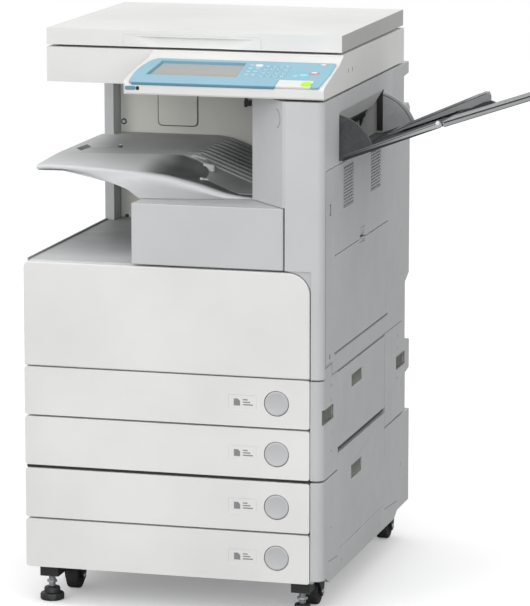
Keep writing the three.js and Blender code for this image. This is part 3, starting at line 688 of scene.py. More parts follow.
def reader_shell():
    """The reader's deck and the sloping panel housing in front of it, before its openings."""
    (_, x1), (_, y1), (z0, z1) = limits("reader_housing")
    x0 = limits("platen_lid")[0][0]
    edge = PANEL @ Vector((0, 6, 0))
    rear = PANEL @ Vector((0, 121, 0))
    profile = [(PANEL_FRONT + 2, z0), (PANEL_FRONT, z0 + 3), *arc((-334, 970.5), 6, 180, 104, 5)]
    profile += [(edge.y, edge.z), (rear.y, rear.z)]
    profile += [(READER_FRONT - 3, z1 - 3.2), (READER_FRONT, z1 - 0.6)]
    profile += [(READER_FRONT + 5, z1), (READER_FRONT + 5, z0)]
    plan = [(x1, PANEL_FRONT - 1), (x1, READER_FRONT + 5)]
    for i in range(9):
        share = 1 - i / 8
        plan.append((PANEL_LEFT + 17 * share**1.6, blend(-329, READER_FRONT + 5, share)))
    plan += arc((PANEL_LEFT + 10, -330), 10, 190, 270, 6)[1:]
    shell = Form().prism("x", profile, (PANEL_LEFT - 5, x1))
    shell.combine("INTERSECT", Form().prism("z", plan, (z0 - 1, z1 + 1)))
    return shell.combine("UNION", Form().box((x0, x1), (READER_FRONT, y1), (z0, z1)))


def reader():
    (_, x1), _, (_, z1) = limits("reader_housing")
    glass_x, glass_y, glass_z = limits("platen_glass")
    inside = Form().painted(1).box(shrink(glass_x, 7), shrink(glass_y, 7), (968, z1 + 1))
    seat = Form().box(shrink(glass_x, -0.8), shrink(glass_y, -0.8), (glass_z[0] - 0.4, z1 + 1))
    pocket = Form(PANEL).prism("z", rectangle((-60, 114), (35, 113)), (-7, 12))
    shell = reader_shell().cut(inside, seat, pocket)
    piece("reader_body", shell, MACHINE, WHITE, BLACK, edge=1.8, segments=3,
          stands_for=["reader_housing"])
    marks = Form()
    for y in (-159, -128):
        marks.box((x1 - 1, x1 + 0.25), around(y, 0.9), (984, 992))
    piece("reader_side_marks", marks, MACHINE, DARK, edge=0)


def fascia_outline():
    """The blue sheet's outline: a bowed left edge, and a notch for the start key at the lower right."""
    rise = 118
    left = [(-79 - 3 * math.sin(math.pi * v / rise) + 17 * (v / rise) ** 3, v)
            for v in range(110, 6, -13)]
    top = soften([(277.5, 60), (277.5, 119), (-62, 119)], 5)[4:]
    notch = [(192, -1.5), (192, 28), (196, 32), (255, 32), (258.5, 28), (258.5, -1.5)]
    return [*top, *left, *arc((-73, 5), 6.5, 190, 270, 4), *notch, (271, -1.5), (273, 2)]


def dome(form, centre, rx, ry, top, foot=1.2, crown=1.0):
    """A low oval key with a rounded rim and a crowned top."""
    rings = []
    levels = ((1, foot), (1, top - crown), (0.93, top - crown * 0.35), (0.75, top), (0.3, top + 0.15))
    for share, z in levels:
        rings.append([(x, y, z) for x, y in oval(centre, rx * share, ry * share)])
    return form.loft(rings)


def key_grid(node, columns, rows):
    """Centres of a mat's keys in the panel's frame, row by row from the front."""
    (x0, x1), span, _ = limits(node)
    v0, v1 = [(y - PANEL.translation.y) / math.cos(SLOPE) for y in span]
    step_x, step_v = (x1 - x0) / columns, (v1 - v0) / rows
    return [(x0 + step_x * (c + 0.5), v0 + step_v * (r + 0.5)) for r in range(rows) for c in range(columns)]


NUMBER_KEYS = key_grid("number_keys", 4, 4)
FUNCTION_KEYS = key_grid("function_keys", 2, 4)
KEY_SIGNS = "*0#-789C456=123+"


def glyph(form, text, centre, size, top):
    """A flat raised character on a key."""
    curve = bpy.data.curves.new("glyph", "FONT")
    curve.body = text
    curve.size = size
    curve.align_x = "CENTER"
    curve.align_y = "CENTER"
    curve.extrude = 0.12
    made = bpy.data.objects.new("glyph", curve)
    mesh = made.to_mesh()
    points = [Vector((*centre, top)) + v.co for v in mesh.vertices]
    form.add(points, [tuple(p.vertices) for p in mesh.polygons])
    made.to_mesh_clear()
    bpy.data.objects.remove(made)
    bpy.data.curves.remove(curve)


def fascia():
    """The blue sheet with its screen opening and key holes."""
    sheet = Form(PANEL).prism("z", fascia_outline(), (0.1, FASCIA_TOP))
    holes = Form(PANEL)
    for spot in NUMBER_KEYS:
        holes.prism("z", oval(spot, 4.9, 5.2, 20), THROUGH)
    for spot in FUNCTION_KEYS[:-1]:
        holes.prism("z", oval(spot, 5.6, 4.6, 20), THROUGH)
    wide_hole = Form(PANEL).prism("z", oval(FUNCTION_KEYS[-1], 8.3, 6.2, 28), THROUGH)
    holes.prism("z", oval(STOP, 9.6, 5.6), THROUGH).prism("z", oval(POWER, 7.6, 5.1), THROUGH)
    window = Form(PANEL).prism("z", SCREEN_OPENING, THROUGH)
    piece("control_fascia", sheet.cut(window, holes, wide_hole), MACHINE, BLUE, edge=0.9, segments=3,
          stands_for=["panel_fascia"])


def screen():
    """The bezel that slopes down to the display, in a darker blue as painted shade, and the display."""
    loops = [(SCREEN_OPENING, FASCIA_TOP - 0.4), (SCREEN_FLOOR, SCREEN_DEPTH),
             (SCREEN_FLOOR, SCREEN_DEPTH - 2), (SCREEN_OPENING, -3)]
    rings = [[(x, v, n) for x, v in loop] for loop, n in loops]
    piece("screen_bezel", Form(PANEL).loft(rings, closed=True), MACHINE, DEEP_BLUE, edge=0.5)
    depth = (SCREEN_DEPTH - 2.4, SCREEN_DEPTH - 0.4)
    face = Form(PANEL).prism("z", rectangle((-56, 111), (37.6, 104.8)), depth)
    piece("display_face", face, MACHINE, SCREEN, edge=0.3, stands_for=["touch_screen"])


def key_mats():
    digits = Form(PANEL)
    for spot, sign in zip(NUMBER_KEYS, KEY_SIGNS):
        dome(digits.painted(0), spot, 4.3, 4.6, 4.0)
        glyph(digits.painted(1), sign, spot, 5.0, 4.2)
    piece("number_key_caps", digits, "number_keys", KEY_BLUE, DARK, edge=0, stands_for=["number_keys"])
    caps = Form(PANEL)
    for spot in FUNCTION_KEYS[:-1]:
        dome(caps, spot, 5.0, 4.0, 4.0)
    dome(caps.painted(1), FUNCTION_KEYS[-1], 7.6, 5.5, 4.6)
    piece("function_key_caps", caps, "function_keys", KEY_BLUE, KEY_WHITE, edge=0,
          stands_for=["function_keys"])


def single_keys():
    """The start, stop and power keys and the status lights."""
    start = dome(Form(PANEL), START, 9.7, 9.7, 5.6, crown=2.4)
    piece("start_key_cap", start, "start_key", LIME, edge=0, stands_for=["start_key"])
    stop = dome(Form(PANEL), STOP, 9, 5, 4.0)
    dome(stop.painted(1), STOP, 5.4, 2.8, 4.5, 3.6, 0.4)
    piece("stop_key_cap", stop, "stop_key", CORAL, KEY_WHITE, edge=0, stands_for=["stop_key"])
    power = dome(Form(PANEL), POWER, 7, 4.5, 4.0)
    dome(power.painted(1), POWER, 4, 2.2, 4.4, 3.6, 0.3)
    piece("power_key_cap", power, "power_key", BUTTON, KEY_WHITE, edge=0, stands_for=["power_key"])
    lights = dome(Form(PANEL), (232, 56), 8, 4.6, 3.6, 1.0, 0.4)
    dome(lights, (217, 51), 5, 3.2, 3.5, 1.0, 0.4)
    piece("status_lights", lights, MACHINE, CYAN, edge=0)


def control_panel():
    fascia()
    screen()
    surround = Form(PANEL).slab("z", (193, 257.7), (-1, 31), 3, (-0.5, FASCIA_TOP))
    surround.cut(Form(PANEL).prism("z", oval(START, 10.2, 10.2), (-4, 9)))
    piece("start_key_surround", surround, MACHINE, WHITE, edge=0.9, segments=3)
    # The front lip is in the darker blue as painted shade under the fascia's rolled front edge.
    section = [(-1.4, -3), (-2.2, -2.4), (-2.5, 0.6), (-2.1, 2.1), (-1.2, 2.75)]
    lip = Form(PANEL).prism("x", section, (-73, 192))
    piece("fascia_front_lip", lip, MACHINE, DEEP_BLUE, edge=0.3)
    key_mats()
    single_keys()
    lens_z = (963.5, 970.5)
    lens = Form().slab("y", (-86, -66), lens_z, 3.4, (PANEL_FRONT - 1.1, PANEL_FRONT + 3))
    lens.painted(1).slab("y", (-65.5, -59), lens_z, 3, (PANEL_FRONT - 0.8, PANEL_FRONT + 3))
    piece("indicator_lens", lens, MACHINE, DEEP_BLUE, BLACK, edge=0.5)


def size_marks():
    """The scale along the back and left edges of the platen glass."""
    (left, _), (front, back), _ = limits("platen_glass")
    top = limits("reader_housing")[2][1]
    marks = Form()
    for i in range(43):
        length = 4 if i % 5 else 7
        x = left + 6 + i * 10
        marks.box((x, x + 0.6), (back + 3, back + 3 + length), (top - 0.3, top + 0.25))
    for i in range(31):
        length = 4 if i % 5 else 7
        y = front + 8 + i * 10
        marks.box((left - 3 - length, left - 3), (y, y + 0.6), (top - 0.3, top + 0.25))
    piece("size_marks", marks, MACHINE, DARK, edge=0)


def scanner_inside():
    """What shows through the platen glass: the lamp on the mirror carriage, guide rods, belt and size
    marks.
    """
    (x0, x1), (y0, y1), (z0, z1) = limits("scan_carriage")
    lamp = Form().rod("y", shrink((y0, y1), 8), (middle((x0, x1)) + 4, z1 - 4.5), 3, 16)
    hood = [(x0 + 4, z1), (x0 + 14, z1), (x0 + 12, z1 + 2.5), (x0 + 5, z1 + 2.5)]
    lamp.painted(1).prism("y", hood, shrink((y0, y1), 4))
    piece("scan_lamp", lamp, "scan_carriage", KEY_WHITE, STEEL, edge=0.3)
    rods = Form()
    reach = (-212, 212)
    for y in (y0 + 12, y1 - 12):
        rods.rod("x", reach, (y, z0 - 2.8), 2.4, 14)
    rods.painted(1).box(reach, (y1 - 30, y1 - 24), (z0 - 4.5, z0 - 3.2))
    piece("scan_guide_rods", rods, MACHINE, STEEL, RUBBER, edge=0.3)
    size_marks()


# ---- output bay
# Tables of (X, value) pairs along the output tray, from its left end to the pillar.
LIP_TOP = [(-288, 806), (-263, 808), (-221, 807), (-160, 804), (-99, 800), (-38, 793), (16, 781),
           (68, 766), (108, 760), (125, 758.5)]
FASCIA_Y = [(-288, -231), (-180, -237), (-140, -241), (-110, -250), (-76, -289), (-24, -279),
            (71, -259), (125, -248)]
FASCIA_Z = [(-288, 797), (-236, 798), (-190, 791), (-150, 780), (-110, 768), (-76, 758.9),
            (68, 758.5), (125, 756.5)]
UNDER_Z = [(-288, 796), (-236, 796), (-150, 778), (-110, 766), (-76, 751), (125, 751)]
PLATE_EDGE = [(-288, -112), (-262, -106), (-56, -72), (-20, -98), (12, -132), (17, -150),
              (23, -196), (125, -203)]
LIP_Y = -235
PLATEAU = 811
RAMP_START = -44
RAMP_FALL = 0.39
RAMP_END = 760
SHOULDER = 26  # half the length of the round between plateau and ramp
VALLEY_END = 30
RIB_PITCH = 28
RIB_FRONT = -95
PLATE_BACK = 199


def ramp(x):
    """Height of the output tray's main surface: level, then a rounded shoulder and a ramp down."""
    past = x - RAMP_START
    if past < -SHOULDER:
        return PLATEAU
    if past < SHOULDER:
        return PLATEAU - RAMP_FALL * (past + SHOULDER) ** 2 / (4 * SHOULDER)
    return max(RAMP_END, PLATEAU - RAMP_FALL * past)


def tongue(x, y):
    """Extra height of the rounded tongue that runs out over the ramp."""
    run = smooth(x, -60, 20)
    half = 22 - 8 * run
    across = 1 - smooth(abs(y - blend(-45, -112, run)), half * 0.7, half * 1.25)
    length = smooth(x, -75, -50) * (1 - smooth(x, 13, 22))
    return (PLATEAU - 13 * smooth(x, -50, 20) - ramp(x)) * across * length


def valley(x):
    """Floor of the scoop between the front lip and the tongue."""
    return 783 + 22 * max(0.0, (VALLEY_END - x) / 130) ** 2.2


def front_height(x, share):
    """Top of the tray's front border, from the lip at share 0 to the plate's edge at share 1."""
    edge = ramp(x) + tongue(x, along(PLATE_EDGE, x) + 6)
    level = blend(along(LIP_TOP, x), edge, share)
    scooped = smooth(x, -115, -60) * (1 - smooth(x, 16, 30))
    within = smooth(share, 0.05, 0.3) * (1 - smooth(share, 0.72, 1.0))
    floor = blend(level, min(level, valley(x)), within)
    return blend(level, floor, scooped)


TRAY_COLUMNS = [-288, -286, -281, *[-273 + 9 * i for i in range(17)], *[-120 + 5 * i for i in range(36)],
                60, 75, 90, 105, 117, 125]


def plate_painted_shade(point):
    """Painted shade on the tray's flat top: light along the left and the front, dark towards the back
    right, where the bay shades it.
    """
    x, y = point.x, point.y
    deep = 0.5 + 0.5 * smooth(y, -110, 60)
    flat = smooth(x, -284, -205) * deep * (0.54 + 0.3 * smooth(x, -60, 20))
    return flat + 0.22 * smooth(x, 10, 60) * (1 - smooth(y, -110, -60))


def border_painted_shade(point):
    """Painted shade on the tray's front border: light at the left and the lip, dark in the scoop, with a
    painted highlight along the plate's edge and painted shade under the lip.
    """
    x, y = point.x, point.y
    edge = along(PLATE_EDGE, x)
    if y > edge - 2:
        return plate_painted_shade(point)
    across = smooth(x, -112, -48)
    above = smooth(y, LIP_Y + 1, LIP_Y + 12)
    painted_edge_highlight = 1 - 0.6 * (1 - smooth(x, 10, 30)) * smooth(y, edge - 4, edge)
    painted_shade_under_lip = 0.2 * (1 - smooth(y, LIP_Y - 8, LIP_Y - 5.8))
    return across * above * painted_edge_highlight + painted_shade_under_lip


def tray_front():
    """The tray's front border: scoop, rolled lip and the curved fascia under it."""
    shares = [1, 0.96, 0.9, 0.83, 0.75, 0.66, 0.56, 0.45, 0.34, 0.24, 0.15, 0.08, 0.03, 0]
    rings = []
    for x in TRAY_COLUMNS:
        edge_y, lip, foot_y, foot_z, under = [
            along(table, x) for table in (PLATE_EDGE, LIP_TOP, FASCIA_Y, FASCIA_Z, UNDER_Z)]
        ring = [(x, blend(LIP_Y, edge_y, s), front_height(x, s)) for s in shares]
        ring += [(x, LIP_Y - 3, lip - 0.8), (x, LIP_Y - 5.5, lip - 3), (x, LIP_Y - 6, lip - 5.5)]
        for k in (0.25, 0.5, 0.75, 1.0):
            drop = k * k * 0.4 + k * 0.6
            ring.append((x, blend(LIP_Y - 5.5, foot_y, k**2.2), blend(lip - 7.5, foot_z, drop)))
        ring.append((x, max(LIP_Y - 2, foot_y + 4), min(foot_z - 0.5, under + 7)))
        rings.append(ring + [(x, LIP_Y - 2, under), (x, edge_y, under)])
    border = Form().loft(rings).box((-288, -284), (-108, 157.5), (797, PLATEAU))
    piece("output_tray_front", border, MACHINE, TRAY_PAINTED_SHADE, edge=0, sharp=50, painted_shade=border_painted_shade,
          stands_for=["inner_tray"])


def rib_height(x, y):
    """Raised run-out ribs along the ramp."""
    if y < RIB_FRONT or y > 192:
        return 0
    offset = (y + 90) % RIB_PITCH
    profile = smooth(offset, 8, 10) * (1 - smooth(offset, 15, 17))
    return 3.2 * profile * smooth(x, -62 + (190 - y) * 0.05, -30)


def tray_plate():
    """The tray's main surface, with rows of points where its ribs begin and end."""
    rib_rows = [-90 + RIB_PITCH * k + o for k in range(11) for o in (0, 8, 10, 15, 17, 23)]
    rows = [y for y in sorted({PLATE_BACK, RIB_FRONT, *rib_rows}) if y <= PLATE_BACK]
    rings = []
    for x in [-284] + [x for x in TRAY_COLUMNS if x > -284]:
        edge_y = along(PLATE_EDGE, x)
        fore = [edge_y + i for i in range(6)]
        if edge_y < RIB_FRONT - 1:
            fore = [blend(edge_y, RIB_FRONT, s) for s in (0, 0.15, 0.3, 0.5, 0.7, 0.85)]
        back = [max(y, fore[-1] + 0.3 + 0.05 * i) for i, y in enumerate(rows)]
        ring = []
        for y in fore + back:
            rib = rib_height(x, y) if y in rows else 0
            ring.append((x, y, ramp(x) + tongue(x, y) + rib))
        under = max(along(UNDER_Z, x), 751)
        rings.append(ring + [(x, PLATE_BACK, under), (x, edge_y, under)])
    piece("output_tray_plate", Form().loft(rings), MACHINE, TRAY_PAINTED_SHADE, edge=0, sharp=50, painted_shade=plate_painted_shade)


def stub(form, start, end, width, height):
    """A short raised rib with a rounded nose, level along its top."""
    (x0, y0, z0), (x1, y1, z1) = start, end
    nose = [(x1 + math.cos(t) * width, y1 + math.sin(t) * width) for t in (-1.2, -0.6, 0, 0.6, 1.2)]
    outline = [(x0, y0 - width), *nose, (x0, y0 + width)]
    rings = []
    for drop, grow in ((height, 1.0), (1.2, 1.0), (0, 0.72)):
        ring = []
        for x, y in outline:
            share = min(1, max(0, (x - x0) / (x1 - x0)))
            centre = blend(y0, y1, share)
            ring.append((x, centre + (y - centre) * grow, blend(z0, z1, share) - drop))
        rings.append(ring)
    return form.loft(rings)


def tray_fittings():
    """Rib noses, the step's edge, the paper stop's slot and knob, and a ridge on the shelf."""
    stubs = Form()
    stub(stubs, (-2, -118, 803), (15, -126, 801), 6, 12)
    stub(stubs, (12, -192, 787), (24, -195, 785), 4.5, 8)
    piece("tray_rib_noses", stubs, MACHINE, INTERIOR, edge=0.6)
    path = [(18, -197, 785), (30, -198, 780.4), (50, -199, 773), (84, -201, 760.6), (122, -202, 760.4)]
    piece("tray_ledge", Form().tube(path, 1.3), MACHINE, EXTENSION, edge=0)
    slot = [(-273, -49), (-270, 8), (-252, -22), (-255, -74)]
    line = [(-254, -46), (-254, -44.6), (-200, -15.6), (-200, -17)]
    # The slot is a flat dark patch: painted shade in place of a recess.
    stopper = Form().prism("z", slot, (PLATEAU - 3, PLATEAU + 0.25))
    stopper.prism("z", line, (PLATEAU - 1, PLATEAU + 0.2))
    piece("paper_stop_slot", stopper, MACHINE, DARK, edge=0.2)
    stem = [(4.4, PLATEAU - 1), (4.4, PLATEAU + 2), (3.6, PLATEAU + 4.6)]
    cap = [(2.6, PLATEAU + 4.4), (2.6, PLATEAU + 5.2), (1.6, PLATEAU + 5.8)]
    knob = Form().lathe("z", stem, (-197, -15), 20).painted(1).lathe("z", cap, (-196.4, -14.6), 16)
    piece("paper_stop_knob", knob, MACHINE, DARK, KEY_WHITE, edge=0.3)
    ridge = Form().slab("y", (-281.6, -277), (642, 646), 1.6, (-318, 156))
    piece("shelf_ridge", ridge, MACHINE, GROOVE, edge=0.6)


def wall_fittings():
    """The access plate with a dark outline as painted shade in its seam, two dark discs as painted shade in
    holes, one round a screw, and the tray's sensor flag on the bay's back wall.
    """
    wall_y = limits("inner_back_wall")[1][0]
    cover = Form().slab("y", (-185, -107), (827, 950), 9, (wall_y - 2.2, wall_y + 0.5))
    # Painted shade: a dark plate just larger than the cover, and dark discs in two holes.
    cover.painted(1).slab("y", (-187, -105), (825, 952), 10, (wall_y - 0.9, wall_y + 0.6))
    cover.rod("y", (wall_y - 0.8, wall_y + 1), (-256, 831), 6, 24)
    cover.rod("y", (wall_y - 1, wall_y + 1), (-251, 645), 4, 18)
    cover.painted(0).rod("y", (wall_y - 2.4, wall_y + 1), (-256, 831), 3.2, 18)
    piece("wall_access_plate", cover, MACHINE, WALL, DARK, edge=0.6)
    flag = Form().box((-10, -6), (wall_y - 9, wall_y + 1), (868, 950))
    flag.box((-10, 3), (wall_y - 12, wall_y - 3), (871, 881))
    flag.box((-10, 4), (wall_y - 14, wall_y - 3), (893, 905))
    flag.rod("x", (-12, 5), (wall_y - 9, 899), 3.5, 14)
    piece("tray_full_sensor", flag, MACHINE, BLACK, edge=0.5)


PILLAR_SLANT = [(126, -247), (206, -337)]  # the pillar's slanted face in plan


def finger_mark():
    """A thin raised crescent on the pillar's slanted face, in mid grey as the painted shade of a moulded
    groove.
    """
    ring = [(17.0, -0.5), (17.0, 0.5), (18.5, 0.5), (18.5, -0.5)]
    mark = Form().lathe("y", ring, (0, 0), 32, closed=True)
    mesh = mark.mesh
    whole = mesh.verts[:] + mesh.edges[:] + mesh.faces[:]
    bmesh.ops.bisect_plane(mesh, geom=whole, plane_co=(6, 0, 0), plane_no=(1, 0, 0.1), clear_inner=True)
    bmesh.ops.holes_fill(mesh, edges=mesh.edges)
    x = 188
    (x0, y0), (x1, y1) = PILLAR_SLANT
    spot = (x, y0 + (x - x0) * (y1 - y0) / (x1 - x0), 918)
    place = Matrix.Translation(spot) @ Matrix.Rotation(math.atan2(y1 - y0, x1 - x0), 4, "Z")
    bmesh.ops.transform(mesh, matrix=place, verts=mesh.verts)
    piece("pillar_finger_mark", mark, MACHINE, GROOVE, edge=0.2)


def output_bay():
    tray_front()
    tray_plate()
    tray_fittings()
    wall_fittings()
    finger_mark()
    exit_unit = Form().box((133, 150), (-148, 168), (818, 860)).painted(1)
    for y in (-110, -50, 10, 70, 130):
        exit_unit.rod("y", around(y, 11), (136, 846), 8, 20)
        exit_unit.rod("y", around(y, 9), (136, 832), 6.5, 20)
    piece("inner_exit_rollers", exit_unit, MACHINE, BLACK, RUBBER, edge=0.5)


# ---- doors, drawers and what they hold
def louvres(form, axis, across, heights, outer, depth, bar=2.3, pitch=5.7, web=10.6):
    """A grille of real holes: level bars with staggered webs, in the plane across axis."""
    inner = outer - depth
    left, right = across
    low, high = heights
    level = low
    row = 0
    while level < high - bar:
        form.strip(axis, across, (level, level + bar), (inner, outer))
        web_z = (level + bar - 0.2, min(high, level + pitch + 0.2))
        place = left + (web / 2 if row % 2 else 0)
        while place < right:
            form.strip(axis, (max(left, place), min(right, place + bar * 1.2)), web_z, (inner, outer - 0.3))
            place += web
        level += pitch
        row += 1
    for end in ((left - 1.5, left + 1), (right - 1, right + 1.5)):
        form.strip(axis, end, heights, (inner, outer))
    for end in ((low - 1.5, low + 1), (high - 1, high + 1.5)):
        form.strip(axis, across, end, (inner, outer))
    return form


LABEL_X = (106, 159)


def size_card(i, face, centre_z):
    """A drawer's paper size card: a sheet with a folded corner, and three bars in place of lettering."""
    label_z = (centre_z - 14, centre_z + 13)
    left, low = LABEL_X[0], label_z[0]
    printed = (face + 0.2, face + 0.7)
    sheet = rectangle(shrink(LABEL_X, 0.6), shrink(label_z, 0.6))
    card = Form().prism("y", sheet, (face + 0.35, face + 1.2))
    corner = [(0, 0), (12, 0), (12, 9), (8, 13), (0, 13)]
    card.painted(1).prism("y", [(left + 10 + a, low + 7 + b) for a, b in corner], printed)
    for k in range(3):
        card.box((left + 27, left + 46 - 5 * k), printed, (low + 8 + 4.6 * k, low + 10.4 + 4.6 * k))
    piece(f"paper_size_card_{i}", card, f"cassette_{i}", WHITE, GROOVE, edge=0.2)


def drawer(i):
    """A cassette's front with its card and its round release button."""
    x, y, z = limits(f"cassette_front_{i}")
    button_x, button_y, button_z = limits(f"cassette_button_{i}")
    centre = (middle(button_x), middle(button_z))
    radius = (button_x[1] - button_x[0]) / 2
    face = y[0]
    plate = Form().slab("y", x, z, 5, y)
    pocket = Form().rod("y", (face - 2, face + 12), centre, radius + 1, 48)
    window = Form().slab("y", LABEL_X, (centre[1] - 14, centre[1] + 13), 2.5, (face - 2, face + 0.9))
    piece(f"drawer_front_{i}", plate.cut(pocket, window), f"cassette_{i}", WHITE, edge=2.4, segments=3,
          stands_for=[f"cassette_front_{i}"])
    size_card(i, face, centre[1])
    front, back = button_y
    profile = [(radius, back), (radius, front + 2.4), (radius - 0.8, front + 0.8), (radius - 2.4, front),
               (radius - 4, front + 0.3), (radius * 0.5, front + 1.3), (1, front + 1.5)]
    cap = Form().lathe("y", profile, centre, 64)
    piece(f"drawer_button_{i}", cap, f"cassette_button_{i}", BUTTON, edge=0, sharp=35,
          stands_for=[f"cassette_button_{i}"])


def paper_stack(i, x, y, floor, fill):
    """A stack of a few reams, each a little out of line."""
    reams = Form()
    layers = 6
    for k in range(layers):
        low = floor + 3 + fill * k / layers
        nudge = 0.35 * math.sin(2.4 * k + i)
        reams.box((x[0] + nudge, x[1] + nudge), (y[0] - nudge, y[1] - nudge), (low, low + fill / layers))
    piece(f"paper_stack_{i}", reams, f"cassette_{i}", PAPER, edge=0.15)


def cassette_inside(i):
    """Paper, lifting plate, and side and end guides of one cassette."""
    x, y, z = limits(f"cassette_tray_{i}")
    floor = z[0] + 3
    right = x[1] - 8
    sheet_x, sheet_y, fill = (420, 297, 34) if i % 2 else (297, 210, 24)
    left = right - sheet_x
    stack_y = around(middle(y), sheet_y / 2)
    paper_stack(i, (left, right), stack_y, floor, fill)
    fittings = Form().box((left + 60, right + 4), shrink(y, 70), (floor, floor + 2.6)).painted(1)
    for side, inner in ((-1, stack_y[0] - 1), (1, stack_y[1] + 1)):
        outer = inner + side * 4
        fittings.box((left + 40, right - 30), sorted((inner, outer)), (floor, z[1] - 2))
        fittings.box((left + 80, left + 130), sorted((outer, outer + side * 16)), (floor, floor + 4))
        for k in range(4):
            rib_x = left + 60 + k * (sheet_x - 120) / 3.4
            fittings.box((rib_x, rib_x + 2.5), sorted((outer, outer + side * 8)), (floor, z[1] - 8))
    fittings.box((left - 6, left - 1.5), around(middle(y), 36), (floor, z[1] - 4))
    fittings.box((left - 30, left - 5), around(middle(y), 14), (floor, floor + 6))
    fittings.painted(2).box((left - 22, left - 10), around(middle(y), 8), (floor + 6, floor + 14))
    piece(f"cassette_fittings_{i}", fittings, f"cassette_{i}", STEEL, BLACK, LEVER_GREEN, edge=0.5)


def drawers():
    for i in range(1, 5):
        drawer(i)
        cassette_inside(i)


def inner_cover():
    """The cover round the process unit behind the front door, and its two release knobs."""
    x, _, z = limits("drum_unit")
    face = (-309, -303)
    bay_x, bay_z = (-238, 234), (458, 624)
    cover = Form().box(bay_x, face, (bay_z[0], z[0] - 8)).box(bay_x, face, (z[1] + 8, bay_z[1]))
    for span in ((bay_x[0], x[0] - 8), (x[1] + 8, bay_x[1])):
        cover.box(span, face, (z[0] - 8.4, z[1] + 8.4))
    cover.painted(1)
    head = [(4.5, face[0] + 1), (4.5, face[0] - 1.2), (3, face[0] - 1.8)]
    for spot in ((-222, 474), (-222, 610), (218, 474), (218, 610)):
        cover.lathe("y", head, spot, 16)
    piece("engine_inner_cover", cover, MACHINE, LIGHT, STEEL, edge=1.0)
    knobs = Form()
    for cx, cz, r in ((165, 552, 24), (-198, 552, 18)):
        disc = [(r, face[0]), (r, face[0] - 4), (r - 3, face[0] - 6), (r * 0.4, face[0] - 6.3)]
        knobs.lathe("y", disc, (cx, cz), 40)
        knobs.box(around(cx, r * 0.8), (face[0] - 10.5, face[0] - 5), around(cz, 3.5))
    piece("release_knobs", knobs, MACHINE, LEVER_GREEN, edge=0.8)


def process_unit():
    """The drum unit's front, with a ribbed grip and its drive hub."""
    x, (front, _), z = limits("drum_unit")
    unit = Form().box(shrink(x, -5), (front - 3, front + 2), shrink(z, -5))
    for k in range(7):
        unit.box((x[0] + 12 + k * 31, x[0] + 15 + k * 31), (front - 6, front - 2), (z[0] + 6, z[0] + 24))
    hub = (x[1] - 36, middle(z) + 6)
    unit.painted(1).rod("y", (front - 9, front - 2), hub, 20, 40)
    unit.painted(2).rod("y", (front - 9.5, front - 2), hub, 9, 24)
    piece("process_unit_face", unit, MACHINE, BLACK, DRUM, STEEL, edge=0.8)


def door_linings():
    """Stiffening ribs behind the front door and the toner cover."""
    inner = limits("front_door")[1][1]
    ribs = Form()
    for k in range(9):
        ribs.box(around(-230 + k * 57, 1.2), (inner - 0.5, inner + 5), (465, 615))
    for k in range(4):
        ribs.box((-231, 227), (inner - 0.5, inner + 5), around(470 + k * 46, 1.2))
    piece("door_lining_ribs", ribs, "front_door", WHITE, edge=0.4)
    x, (_, back), z = limits("toner_cover")
    lining = Form()
    for span in ((x[0] + 12, x[0] + 15), (x[1] - 15, x[1] - 12)):
        lining.box(span, (back - 0.5, back + 0.9), shrink(z, 12))
    piece("toner_cover_lining", lining, "toner_cover", LIGHT, edge=0.3)


def toner_cartridge():
    """A ribbed bottle with a stepped cap and a grip across it."""
    x, (front, back), z = limits("toner_bottle")
    centre = (middle(x), middle(z))
    r = (x[1] - x[0]) / 2
    profile = [(r * 0.55, front), (r * 0.62, front + 1), (r * 0.62, front + 8), (r * 0.95, front + 9),
               (r, front + 13)]
    for k in range(9):
        at = front + 24 + k * 16
        profile += [(r, at), (r - 2.6, at + 3), (r - 2.6, at + 6), (r, at + 9)]
    profile += [(r, back - 4), (r - 3, back)]
    bottle = Form().lathe("y", profile, centre, 48)
    bottle.painted(1).box(around(centre[0], r * 0.5), (front - 6, front + 2), around(centre[1], 3))
    piece("toner_cartridge", bottle, MACHINE, DARK, LEVER_GREEN, edge=0.6, stands_for=["toner_bottle"])


def engine_inside():
    inner_cover()
    process_unit()
    door_linings()
    toner_cartridge()


# ---- right side
OUTER = limits("right_door")[0][1]  # the right doors' outer face


def inset(near, far):
    """A span in X, measured inwards from the right doors' outer face."""
    return OUTER - near, OUTER - far


def vents():
    for k, y in enumerate(((-192, -112), (20, 101))):
        z = (739, 818)
        backing = Form().box(inset(4.4, 3.6), y, z)
        piece(f"vent_shadow_{k + 1}", backing, "right_door", BLACK, edge=0.1)
        grille = louvres(Form(), "x", shrink(y, 1.5), shrink(z, 1.5), OUTER - 0.2, 0.9)
        piece(f"vent_grille_{k + 1}", grille, "right_door", SIDE, edge=0)


def corner_strip():
    """The strip at the front right corner with its door catch."""
    # The walls of the latch pocket and the notch are painted dark as the shade in them.
    latch = Form().painted(1).box(inset(3, -1), (-294, -284), (742, 761))
    notch = Form().painted(1).box(inset(2, -1), (-292, -287), (480, 488))
    strip = copied("right_front_strip").cut(latch, notch)
    piece("corner_strip", strip, MACHINE, SIDE, DARK, edge=1.0, stands_for=["right_front_strip"])
    catch = Form().slab("x", (-292.5, -285.5), (743.5, 759.5), 1.5, inset(2.5, 0.8))
    piece("corner_strip_catch", catch, MACHINE, BUTTON, edge=0.4)


def screws(form, axis, spots, profile, slots, slot_depth):
    """Screw heads on an upright face. Each slot is given by half its width and half its height."""
    for spot in spots:
        form.lathe(axis, profile, spot, 18)
        for wide, high in slots:
            form.strip(axis, around(spot[0], wide), around(spot[1], high), slot_depth)
    return form


SIDE_SCREWS = [(-279, 430), (-279, 403), (-278, 343), (-278, 308), (-276, 164), (-196, 84), (110, 79),
               (250, 424), (251, 399), (245, 341), (280, 321), (285, 160), (272, 626)]


